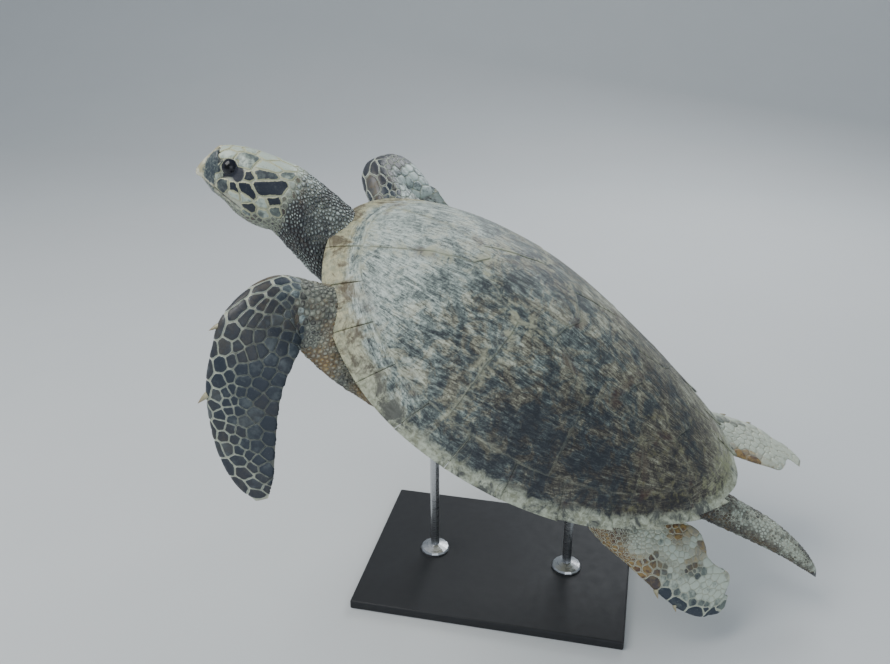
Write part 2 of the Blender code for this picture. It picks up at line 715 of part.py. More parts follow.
def head():
    """Head with its two beak sheaths parted by thin cuts, and an eyeball in each socket."""
    rings = head_rings()
    whole = loft("whole_head", rings, SKIN_PALE, 0.5, start=(0, 0.0, -0.0015), parent=HEAD)
    beak_top, beak_foot, reach = 0.034, 0.036, 0.1
    sheath = wall("sheath_cut", ((-reach, beak_top, reach), (reach, beak_top, reach),
                                 (reach, beak_foot, -reach), (-reach, beak_foot, -reach)), HEAD)
    mouth_start, mouth_end, mouth_level, slope = -0.02, beak_foot, 0.0075, -0.36
    mouth = wall("mouth_cut", ((-reach, mouth_start, slope * (mouth_start - mouth_level)),
                               (reach, mouth_start, slope * (mouth_start - mouth_level)),
                               (reach, mouth_end, slope * (mouth_end - mouth_level)),
                               (-reach, mouth_end, slope * (mouth_end - mouth_level))), HEAD)
    eyes = []
    for side, mirror in (("left", 1), ("right", -1)):
        bm = bmesh.new()
        bmesh.ops.create_uvsphere(bm, u_segments=12, v_segments=8, radius=EYE_RADIUS)
        mesh = bpy.data.meshes.new(f"eye_{side}")
        bm.to_mesh(mesh)
        bm.free()
        mesh.shade_smooth()
        mesh.materials.append(material(f"eye_{side}", (0.01, 0.01, 0.02), 0.1))
        eye = bpy.data.objects.new(f"eye_{side}", mesh)
        PARTS.objects.link(eye)
        eye.parent = HEAD
        eye.location = (mirror * 0.0245, 0.0630, 0.0275)
        eyes.append(eye)
    sockets = []
    for eye in eyes:
        socket = grown(eye, GAP)
        socket.matrix_basis = eye.matrix_basis
        sockets.append(socket)
    cut(whole, sheath, mouth, *sockets)
    for points, faces in loose_parts(whole):
        if points[:, 1].max() > 0.1:
            made = mesh_object("head", points, faces, SKIN_PALE, 0.5, HEAD)
        elif points[:, 2].mean() > -0.004:
            mesh_object("beak_upper", points, faces, (0.60, 0.55, 0.36), 0.35, HEAD)
        else:
            mesh_object("beak_lower", points, faces, (0.45, 0.40, 0.28), 0.35, HEAD)
    return made


def neck():
    """Neck from the back of the head to the trunk, with the same count of points round it."""
    frame = np.array(HEAD.matrix_basis)
    back = head_rings()[-1]
    first = back @ frame[:3, :3].T + frame[:3, 3]
    normal = unit(np.cross(first[4] - first[0], first[8] - first[4]))
    centre = first.mean(0)
    if normal[1] < 0:
        normal = -normal
    a = np.linspace(0, 2 * math.pi, HEAD_AROUND, endpoint=False)
    last_centre = np.array([0.0, -0.27, -0.040])
    last = np.column_stack([0.062 * np.cos(a), np.full_like(a, 0.0), 0.062 * np.sin(a)]) + last_centre
    rings = [first + normal * GAP]
    middle = np.array([0.004, -0.392, -0.004])
    for s in np.linspace(0.16, 1, 6):
        shape = (first - centre) * (1 - s) + (last - last_centre) * s
        path = centre * (1 - s) ** 2 + 2 * middle * s * (1 - s) + last_centre * s**2
        shape *= 1 + 0.08 * math.sin(math.pi * s)
        rings.append(shape + path)
    return loft("neck", rings, SKIN_PALE, 0.6)


# ---------------------------------------------------------------- stand

def base_plate():
    bm = bmesh.new()
    bmesh.ops.create_cube(bm, size=1.0, matrix=Matrix.Diagonal((*BASE_SIZE, 1.0)))
    mesh = bpy.data.meshes.new("stand_base")
    bm.to_mesh(mesh)
    bm.free()
    mesh.materials.append(material("stand_base", (0.05, 0.05, 0.055), 0.4))
    obj = bpy.data.objects.new("stand_base", mesh)
    PARTS.objects.link(obj)
    obj.location = (0, 0, BASE_SIZE[2] / 2)
    bevel = obj.modifiers.new("edge", "BEVEL")
    bevel.width = 0.003
    bevel.segments = 2
    bevel.limit_method = "ANGLE"


def rod(name, y, belly_cutter, shell_cutters):
    """Turned rod with a round foot; its top is cut to the belly plate it carries."""
    top = BODY_HEIGHT + 0.05
    profile = ((0.0, top), (ROD_RADIUS, top), (ROD_RADIUS, 0.012), (0.024, 0.006), (0.026, 0.003), (0.026, 0.0), (0.0, 0.0))
    mesh = bpy.data.meshes.new(name)
    mesh.from_pydata([(x, 0, z) for x, z in profile], [(i, i + 1) for i in range(len(profile) - 1)], [])
    mesh.materials.append(material(name, (0.55, 0.56, 0.58), 0.25, 1.0))
    obj = bpy.data.objects.new(name, mesh)
    PARTS.objects.link(obj)
    obj.location = (0, y, BASE_SIZE[2] + GAP)
    screw = obj.modifiers.new("turn", "SCREW")
    screw.steps = screw.render_steps = 14
    screw.use_merge_vertices = True
    screw.merge_threshold = 0.00005
    bake(obj)
    cut(obj, belly_cutter, *shell_cutters)
    pieces = loose_parts(obj)
    points, faces = min(pieces, key=lambda piece: piece[0][:, 2].min())
    lower = mesh_object(name, points, faces, (0.55, 0.56, 0.58), 0.25, None)
    lower.location = (0, y, BASE_SIZE[2] + GAP)


# ---------------------------------------------------------------- assembly

scutes()
marginals()
trunk_body = trunk()
plate = plastron()
shell_pieces = [o for o in PARTS.objects if o.name.startswith(("nuchal", "marginals"))]
disc_under = slab("under_disc", RINGS[:MARGINAL_RING + 1], angles(0, STATIONS - 1), shell_top, shell_under,
                  SHELL_COLOUR, 0.5, CUTTERS)
shell_cutters = [grown(o, GAP) for o in shell_pieces + [disc_under, trunk_body, plate]]
bpy.data.objects.remove(disc_under)
middle_pieces = [neck(), tail()]
for piece in middle_pieces:
    cut(piece, *shell_cutters, solver="MANIFOLD")
neck_cutter, tail_cutter = (grown(piece, 2 * GAP) for piece in middle_pieces)
for arm in front_flippers():
    cut(arm, *shell_cutters, neck_cutter, solver="MANIFOLD")
for thigh in hind_flippers():
    cut(thigh, *shell_cutters, tail_cutter, solver="MANIFOLD")
head()
base_plate()
plate_cutter = shell_cutters[-1]
for rod_name, rod_y in (("stand_rod_front", -ROD_SPACING / 2), ("stand_rod_rear", ROD_SPACING / 2)):
    rod(rod_name, rod_y, plate_cutter, [])
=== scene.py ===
"""Looks of a life-size hawksbill sea turtle that glides on a plain display stand.

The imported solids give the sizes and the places. Here the flesh becomes one skin with scales on it,
and each horn plate of the shell, the beak, the eyes and the claws become finished pieces of their own.
Metres, +Z up. The animal is worked out in its own body frame (+X its left side, -Y the way it heads,
+Z its back, origin in the middle of the shell), which is then banked and lifted onto the stand.
"""
import math

import bmesh
import bpy
import numpy as np
from mathutils import Matrix, Vector
from mathutils.bvhtree import BVHTree
from mathutils.kdtree import KDTree


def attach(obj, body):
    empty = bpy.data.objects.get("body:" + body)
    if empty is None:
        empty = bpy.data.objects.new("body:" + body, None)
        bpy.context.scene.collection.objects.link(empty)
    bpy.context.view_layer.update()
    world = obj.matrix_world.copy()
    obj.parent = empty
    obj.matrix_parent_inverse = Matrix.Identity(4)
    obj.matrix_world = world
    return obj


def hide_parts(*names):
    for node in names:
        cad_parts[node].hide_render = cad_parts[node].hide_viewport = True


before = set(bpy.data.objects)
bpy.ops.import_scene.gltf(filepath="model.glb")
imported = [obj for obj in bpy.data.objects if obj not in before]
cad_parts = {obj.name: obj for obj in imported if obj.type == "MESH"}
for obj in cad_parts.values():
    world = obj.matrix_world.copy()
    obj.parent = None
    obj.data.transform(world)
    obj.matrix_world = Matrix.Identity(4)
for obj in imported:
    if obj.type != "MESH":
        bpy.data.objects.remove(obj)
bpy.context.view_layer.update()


# ================================================================ studio
# A plain pale floor, soft light from a wide lamp over the animal's head side, a weaker one by the
# camera and a low one behind. The camera looks down at its left side from a little behind.

BODY_PLACE = Vector((0, 0.035, 0.41))
POSE = (Matrix.Translation(BODY_PLACE) @ Matrix.Rotation(math.radians(-32), 4, "X")
        @ Matrix.Rotation(math.radians(16), 4, "Y"))


def node(tree, kind, inputs=None, **settings):
    """Add a shader node; inputs are constants or the sockets that feed it."""
    made = tree.nodes.new(kind)
    for key, value in settings.items():
        setattr(made, key, value)
    for key, value in (inputs or {}).items():
        socket = made.inputs[key]
        if isinstance(value, bpy.types.NodeSocket):
            tree.links.new(value, socket)
        elif socket.type == "RGBA":
            socket.default_value = (*value[:3], 1.0)
        else:
            socket.default_value = value
    return made


def finish_material(name, roughness, **constants):
    """New material with a Principled shader; returns it, its node tree and the shader."""
    made = bpy.data.materials.new(name)
    made.use_nodes = True
    shader = made.node_tree.nodes["Principled BSDF"]
    shader.inputs["Roughness"].default_value = roughness
    for key, value in constants.items():
        shader.inputs[key.replace("_", " ")].default_value = value
    return made, made.node_tree, shader


def blend(factor, first, second):
    """Colour that goes from first to second as factor, a socket, goes from 0 to 1."""
    mixed = node(factor.id_data, "ShaderNodeMix", {0: factor, 6: first, 7: second}, data_type="RGBA")
    return mixed.outputs[2]


def noise(where, scale, detail=4.0, roughness=0.55, distortion=0.0):
    return node(where.id_data, "ShaderNodeTexNoise", {"Vector": where, "Scale": scale, "Detail": detail,
                "Roughness": roughness, "Distortion": distortion}).outputs["Fac"]


def ramp(value, low, high, to_low=0.0, to_high=1.0):
    """Value carried smoothly from low..high to to_low..to_high and held beyond."""
    return node(value.id_data, "ShaderNodeMapRange", {"Value": value, "From Min": low, "From Max": high,
                "To Min": to_low, "To Max": to_high}, interpolation_type="SMOOTHSTEP").outputs["Result"]


def swing(pattern, depth):
    """A noise pattern's usual spread, 0.3 to 0.7, carried to -depth..depth."""
    return ramp(pattern, 0.3, 0.7, -depth, depth)


def maths(operation, first, second=0.0):
    """Math node on two values, of which the last is a socket where the first is a number."""
    tree = (second if isinstance(first, float) else first).id_data
    return node(tree, "ShaderNodeMath", {0: first, 1: second}, operation=operation).outputs[0]


def plus(first, second):
    return maths("ADD", first, second)


def times(first, second):
    return maths("MULTIPLY", first, second)


def attribute(tree, name, output="Fac"):
    return node(tree, "ShaderNodeAttribute", attribute_name=name).outputs[output]


def bump(height, depth, strength=1.0, below=None):
    """Normal of a surface raised by height times depth, over the normal below."""
    inputs = {"Height": height, "Distance": depth, "Strength": strength}
    if below is not None:
        inputs["Normal"] = below
    return node(height.id_data, "ShaderNodeBump", inputs).outputs["Normal"]


def feed(tree, shader, **sockets):
    """Link sockets to the shader's inputs of the same names."""
    for key, socket in sockets.items():
        tree.links.new(socket, shader.inputs[key.replace("_", " ")])


def object_place(tree):
    return node(tree, "ShaderNodeTexCoord").outputs["Object"]


def floor_finish():
    made, tree, shader = finish_material("floor_paper", 0.85)
    grain = noise(object_place(tree), 3.0)
    feed(tree, shader, Base_Color=blend(grain, (0.66, 0.68, 0.69), (0.70, 0.72, 0.73)))
    return made


def sweep(width, depth, wall_height, bend):
    """Studio paper: a floor that curves up into a wall. Grid of x against length along its section."""
    along = np.linspace(0, 1, 60)
    run, arc = depth - bend, math.pi / 2 * bend
    length = along * (run + arc + wall_height - bend)
    turn = np.clip((length - run) / bend, 0, math.pi / 2)
    out = np.minimum(length, run) + bend * np.sin(turn)
    up = bend * (1 - np.cos(turn)) + np.maximum(length - run - arc, 0)
    across = np.linspace(-width / 2, width / 2, 30)
    return np.stack(np.broadcast_arrays(out[:, None], across[None], up[:, None]), -1)


def lattice(rows, columns):
    """Every pair of a value of rows and a value of columns, as two grids."""
    return np.meshgrid(rows, columns, indexing="ij")


def grid_faces(rows, columns, wrap=False):
    """Quads of a grid of points, with the last column joined to the first if wrapped."""
    i, k = lattice(np.arange(rows - 1), np.arange(columns if wrap else columns - 1))
    n = (k + 1) % columns
    return np.stack([i * columns + k, i * columns + n, (i + 1) * columns + n, (i + 1) * columns + k],
                    -1).reshape(-1, 4)


def fan(tip, ring, flip=False):
    """Triangles from a tip to each step of a closed ring of points."""
    ahead = np.roll(ring, -1)
    return np.stack([np.full(len(ring), tip)] + ([ahead, ring] if flip else [ring, ahead]), -1)


def mesh_piece(name, points, quads, tris=(), finish=None, smooth=True):
    """Object from arrays of points, four-sided faces and three-sided faces."""
    points = np.asarray(points, np.float32).reshape(-1, 3)
    quads = np.asarray(quads, np.int32).reshape(-1, 4)
    tris = np.asarray(tris, np.int32).reshape(-1, 3)
    mesh = bpy.data.meshes.new(name)
    mesh.vertices.add(len(points))
    mesh.vertices.foreach_set("co", points.ravel())
    corners = np.concatenate([quads.ravel(), tris.ravel()])
    sizes = np.concatenate([np.full(len(quads), 4), np.full(len(tris), 3)])
    mesh.loops.add(len(corners))
    mesh.loops.foreach_set("vertex_index", corners)
    mesh.polygons.add(len(sizes))
    mesh.polygons.foreach_set("loop_start", (np.cumsum(sizes) - sizes).astype(np.int32))
    mesh.polygons.foreach_set("loop_total", sizes.astype(np.int32))
    mesh.update(calc_edges=True)
    mesh.validate()
    if smooth:
        mesh.shade_smooth()
    if finish is not None:
        mesh.materials.append(finish)
    made = bpy.data.objects.new(name, mesh)
    bpy.context.scene.collection.objects.link(made)
    return made


def lamp(name, place, target, size, watts, colour):
    data = bpy.data.lights.new(name, "AREA")
    data.size = size
    data.energy = watts
    data.color = colour
    made = bpy.data.objects.new(name, data)
    made.location = place
    made.rotation_euler = (Vector(target) - Vector(place)).to_track_quat("-Z", "Y").to_euler()
    bpy.context.scene.collection.objects.link(made)


paper = sweep(width=14.0, depth=9.0, wall_height=6.0, bend=2.5)
paper_points = np.stack([4.0 - paper[..., 0], paper[..., 1], paper[..., 2]], -1)
floor = mesh_piece("studio_floor", paper_points, grid_faces(60, 30)[:, ::-1], finish=floor_finish())

lamp("key", (0.9, -1.6, 3.1), (0, 0, 0.4), 2.2, 78, (1.0, 0.99, 0.96))
lamp("fill", (3.2, 1.6, 1.5), (0, 0, 0.4), 2.4, 26, (0.88, 0.95, 1.0))
lamp("rim", (-2.4, 0.6, 1.9), (0, 0, 0.4), 1.6, 34, (0.95, 0.98, 1.0))
world = bpy.data.worlds.new("studio_air")
world.use_nodes = True
world.node_tree.nodes["Background"].inputs["Color"].default_value = (0.80, 0.90, 1.0, 1.0)
world.node_tree.nodes["Background"].inputs["Strength"].default_value = 0.42
bpy.context.scene.world = world

camera_data = bpy.data.cameras.new("camera")
camera_data.lens = 38
camera_data.sensor_width = 36
camera = bpy.data.objects.new("camera", camera_data)
azimuth, elevation = math.radians(102.5), math.radians(25)
ahead = Vector((-math.sin(azimuth) * math.cos(elevation), math.cos(azimuth) * math.cos(elevation),
                -math.sin(elevation)))
camera.location = BODY_PLACE + Vector((1.358, 0.1645, 0.694))
camera.rotation_euler = ahead.to_track_quat("-Z", "Y").to_euler()
bpy.context.scene.collection.objects.link(camera)
bpy.context.scene.camera = camera


# ================================================================ display stand
# A flat steel base with blackened finish and two turned, brushed steel rods up to the belly plate.

def base_finish():
    made, tree, shader = finish_material("blackened_steel", 0.42, Metallic=0.6)
    place = object_place(tree)
    cloud = noise(place, 14.0)
    feed(tree, shader, Base_Color=blend(cloud, (0.032, 0.033, 0.036), (0.045, 0.046, 0.050)),
         Roughness=ramp(noise(place, 60.0), 0.3, 0.7, 0.50, 0.56),
         Normal=bump(noise(place, 900.0, 2.0), 0.00006))
    return made


def rod_finish():
    made, tree, shader = finish_material("brushed_steel", 0.3, Metallic=1.0, Anisotropic=0.4)
    stretched = node(tree, "ShaderNodeMapping", {"Vector": object_place(tree), "Scale": (40, 40, 900)})
    brush = noise(stretched.outputs["Vector"], 1.0, 3.0)
    feed(tree, shader, Base_Color=blend(brush, (0.46, 0.47, 0.49), (0.62, 0.63, 0.65)),
         Roughness=ramp(brush, 0.3, 0.7, 0.24, 0.38),
         Normal=bump(brush, 0.00003))
    return made


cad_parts["stand_base"].data.materials[0] = base_finish()
steel = rod_finish()
for rod_name in ("stand_rod_front", "stand_rod_rear"):
    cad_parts[rod_name].data.materials[0] = steel


# ================================================================ carapace
# Thirteen horn plates over the back and a ring of rim plates. Each real scute is a sheet of keratin a
# few millimetres thick that grows outward from one corner, so that fine rays and growth lines cross it;
# its rear edge laps over the next one. The front is bleached pale and the rear is dark and overgrown,
# both deepened by painted light and shade; painted highlights run along the crest and the upper right
# side, and painted shade runs down the lower left flank.

SHELL_LENGTH, SHELL_WIDTH = 0.76, 0.548
DOME_HEIGHT, FRONT_LIFT, REAR_LIFT = 0.145, 0.033, 0.050
STATIONS, NUCHAL_STATIONS = 52, 2
PLATE_DEPTH = 0.0045
SEAM_GAP = 0.0003


def posed(points):
    """Points of the body frame, in the world."""
    turn = np.array(POSE)
    return np.asarray(points) @ turn[:3, :3].T + turn[:3, 3]


def half_width(t):
    """Half width of the carapace at t, 0 at its front edge and 1 at its rear edge."""
    def shape(angle):
        return np.sin(angle) ** 1.07 * (1 + 0.128 * np.cos(angle))
    angle = np.arccos(np.clip(1 - 2 * np.asarray(t, float), -1, 1))
    widest = shape(np.linspace(0, math.pi, 721)).max()
    return SHELL_WIDTH / 2 * shape(angle) / widest


def across_share(x, t):
    """Place across the shell at t, from -1 at its right edge to 1 at its left one."""
    return x / np.maximum(half_width(np.clip(t, 0.02, 0.98)), 0.02)


def dome(x, y):
    """Height of the back over the rim plane: rim lift plus an arched dome."""
    t = np.clip(y / SHELL_LENGTH + 0.5, 0, 1)
    rim = (FRONT_LIFT * np.clip((0.35 - t) / 0.35, 0, 1) ** 2
           + REAR_LIFT * np.clip((t - 0.55) / 0.45, 0, 1) ** 2)
    front = 1 - np.abs((0.41 - t) / 0.41) ** 2.4
    rear = 1 - np.abs((t - 0.41) / 0.59) ** 1.9
    arch = np.where(t < 0.41, front, rear)
    across = np.clip(np.abs(x) / np.maximum(half_width(t), 1e-4), 0, 1)
    return rim + DOME_HEIGHT * arch * (1 - across**1.85)


def outline(phi):
    """Plan outline of the carapace at angle phi, 0 at the front and pi at the rear."""
    t = (1 - np.cos(phi)) / 2
    x = half_width(t) * np.where(np.sin(phi) < 0, -1, 1)
    return np.stack([x, (t - 0.5) * SHELL_LENGTH], -1)


def seam_ring(phi):
    """Ring factor of the seam between the back plates and the rim plates."""
    return 0.86 + 0.02 * np.cos(2 * phi)


def radial_reach(centre, theta, line):
    """Distance from centre to the nearest piece of a line of points, in each direction theta."""
    way_x, way_y = np.cos(theta)[:, None], np.sin(theta)[:, None]
    start = line[:-1] - centre
    step = line[1:] - line[:-1]
    slant = way_x * step[:, 1] - way_y * step[:, 0]
    slant = np.where(np.abs(slant) < 1e-12, 1e-12, slant)
    far = (start[:, 0] * step[:, 1] - start[:, 1] * step[:, 0]) / slant
    share = (start[:, 0] * way_y - start[:, 1] * way_x) / slant
    hit = (share >= -1e-6) & (share <= 1 + 1e-6) & (far > 0)
    return np.where(hit, far, np.inf).min(1)


def value_noise(x, y, seed=0):
    """Smooth random field from 0 to 1: a random value at each whole-number point, blended between."""
    i, j = np.floor(x).astype(np.int64), np.floor(y).astype(np.int64)
    u, v = x - i, y - j
    u, v = u * u * (3 - 2 * u), v * v * (3 - 2 * v)

    def corner(a, b):
        mixed = (a * 374761393 + b * 668265263 + seed * 974711) & 0xFFFFFFFF
        mixed = ((mixed ^ (mixed >> 13)) * 1274126177) & 0xFFFFFFFF
        return ((mixed ^ (mixed >> 16)) & 0xFFFF) / 65535.0

    low = corner(i, j) * (1 - u) + corner(i + 1, j) * u
    high = corner(i, j + 1) * (1 - u) + corner(i + 1, j + 1) * u
    return low * (1 - v) + high * v


def rough_noise(x, y, seed=0):
    """Three octaves of value_noise."""
    return (value_noise(x, y, seed) * 4 + value_noise(2.1 * x, 2.1 * y, seed + 1) * 2
            + value_noise(4.3 * x, 4.3 * y, seed + 2)) / 7


def give(made, **marks):
    """Store rows of one number, or one vector, for each vertex under names that materials read."""
    for name, values in marks.items():
        values = np.asarray(values, np.float32)
        kind, field = ("FLOAT", "value") if values.ndim == 1 else ("FLOAT_VECTOR", "vector")
        made.data.attributes.new(name, kind, "POINT").data.foreach_set(field, values.ravel())


def fit(piece, slot, *nodes):
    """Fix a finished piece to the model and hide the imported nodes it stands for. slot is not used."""
    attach(piece, "root")
    if nodes:
        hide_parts(*nodes)


def turns(count):
    """count even angles round a circle from 0."""
    return np.linspace(0, 2 * math.pi, count + 1)[:-1]


def capped(value):
    return np.clip(value, 0, 1)


def climb(value, start, width):
    """0 up to start, then straight up to 1 over the width."""
    return np.clip((value - start) / width, 0, 1)


def fall(value, end, width):
    """1 far below end, and straight down to 0 there over the width."""
    return np.clip((end - value) / width, 0, 1)


def wavering(flat, limit_line):
    """Plan points moved by slow waves of up to 2 mm, so that seams run a little crooked; none at the rim."""
    angle = np.arctan2(flat[..., 1], flat[..., 0])
    reach = radial_reach(np.zeros(2), angle.ravel(), limit_line).reshape(angle.shape)
    calm = 1 - capped(np.hypot(flat[..., 0], flat[..., 1]) / reach) ** 6
    x, y = flat[..., 0], flat[..., 1]
    wave_x = np.sin(2 * math.pi * (np.abs(x) / 0.11 + y / 0.085)) + 0.6 * np.sin(2 * math.pi * y / 0.037)
    wave_y = np.sin(2 * math.pi * (y / 0.13 - np.abs(x) / 0.095)) + 0.6 * np.sin(2 * math.pi * x / 0.041)
    return flat + np.stack([0.0013 * wave_x * np.sin(math.pi * np.clip(np.abs(x) / 0.02, 0, 0.5)),
                            0.0013 * wave_y], -1) * calm[..., None]


def scute(name, corners, centre, areola, limit_line, height, seed, around=232, rings=46, upward=1,
          relief=1.0, finish=None):
    """One horn plate over its plan polygon, on a polar grid about centre.

    A point is centre + rho * reach(theta) in plan, height(x, y) plus relief up. The relief rounds the
    edge down, lifts the rear edge and sinks the front one, and adds growth lines parallel to the edge
    and rays that fan out from the areola. A wall and a flat fan close it underneath."""
    corners, centre = np.asarray(corners, float), np.asarray(centre, float)
    line = np.vstack([corners, corners[:1]])
    edge_angles = np.arctan2(*(corners - centre).T[::-1]) % (2 * math.pi)
    theta = np.unique(np.concatenate([turns(around), edge_angles]))
    reach = np.minimum(radial_reach(centre, theta, line), radial_reach(centre, theta, limit_line))
    rearward = np.clip(np.sin(theta) * 1.3, -1, 1)
    bound = reach - SEAM_GAP + 0.0016 * capped(rearward)
    rho = 1 - (1 - np.linspace(0, 1, rings)) ** 1.6
    edge = bound[:, None] * np.stack([np.cos(theta), np.sin(theta)], -1)
    flat = centre + rho[1:, None, None] * edge[None]
    flat = wavering(flat, limit_line)
    x, y = flat[..., 0], flat[..., 1]
    inside = (1 - rho[1:, None]) * bound[None] * 0.86
    lift = (0.0013 * capped(rearward) - 0.0006 * capped(-rearward)) * np.exp(-inside / 0.016)
    lines = 0.00012 * np.sin(2 * math.pi * inside / 0.0062 + 4 * value_noise(x * 30, y * 30, seed))
    away = flat - np.asarray(areola, float)
    fan_angle, fan_reach = np.arctan2(away[..., 1], away[..., 0]), np.hypot(away[..., 0], away[..., 1])
    rays = 0.00028 * (rough_noise(fan_angle * 46, fan_reach * 22, seed + 3) - 0.5)
    dents = 0.0011 * (rough_noise(x * 24, y * 24, seed + 7) - 0.5)
    top = height(x, y) + upward * (lift - 0.0012 * np.exp(-inside / 0.0011)
                                   + relief * (lines * np.exp(-inside / 0.05) + rays + dents))
    middle = wavering(centre[None], limit_line)[0]
    points = np.concatenate([
        np.dstack([flat, top]).reshape(-1, 3),
        np.column_stack([flat[-1], height(x[-1], y[-1]) - upward * PLATE_DEPTH]),
        [[*middle, height(*middle)], [*middle, height(*middle) - upward * PLATE_DEPTH]]])
    across = len(theta)
    first_ring = np.arange(across)
    quads = grid_faces(rings, across, wrap=True)[:, ::-1]
    caps = np.vstack([fan(len(points) - 2, first_ring),
                      fan(len(points) - 1, (rings - 1) * across + first_ring, True)])
    if upward < 0:
        quads, caps = quads[:, ::-1], caps[:, ::-1]
    made = mesh_piece(name, posed(points), quads, caps, finish)
    made.data.set_sharp_from_angle(angle=math.radians(50))
    plan_points = points[:, :2]
    t = plan_points[:, 1] / SHELL_LENGTH + 0.5
    share = across_share(plan_points[:, 0], t)
    grain = np.column_stack([share * 0.25 + 0.10 * (t - 0.5) * share, plan_points[:, 1],
                             np.full(len(t), float(seed))])
    give(made, edge=np.concatenate([inside.ravel(), np.zeros(across), [0.05, 0.0]]), along=t,
         across=share, grain=grain)
    return made


def colour_steps(value, *steps):
    """Colour along a row of steps, each a place from 0 to 1 and its colour."""
    made = node(value.id_data, "ShaderNodeValToRGB", {"Fac": value})
    stops = made.color_ramp.elements
    for _ in steps[2:]:
        stops.new(0.5)
    for stop, (at, colour) in zip(stops, steps):
        stop.position, stop.color = at, (*colour, 1)
    return made.outputs["Color"]


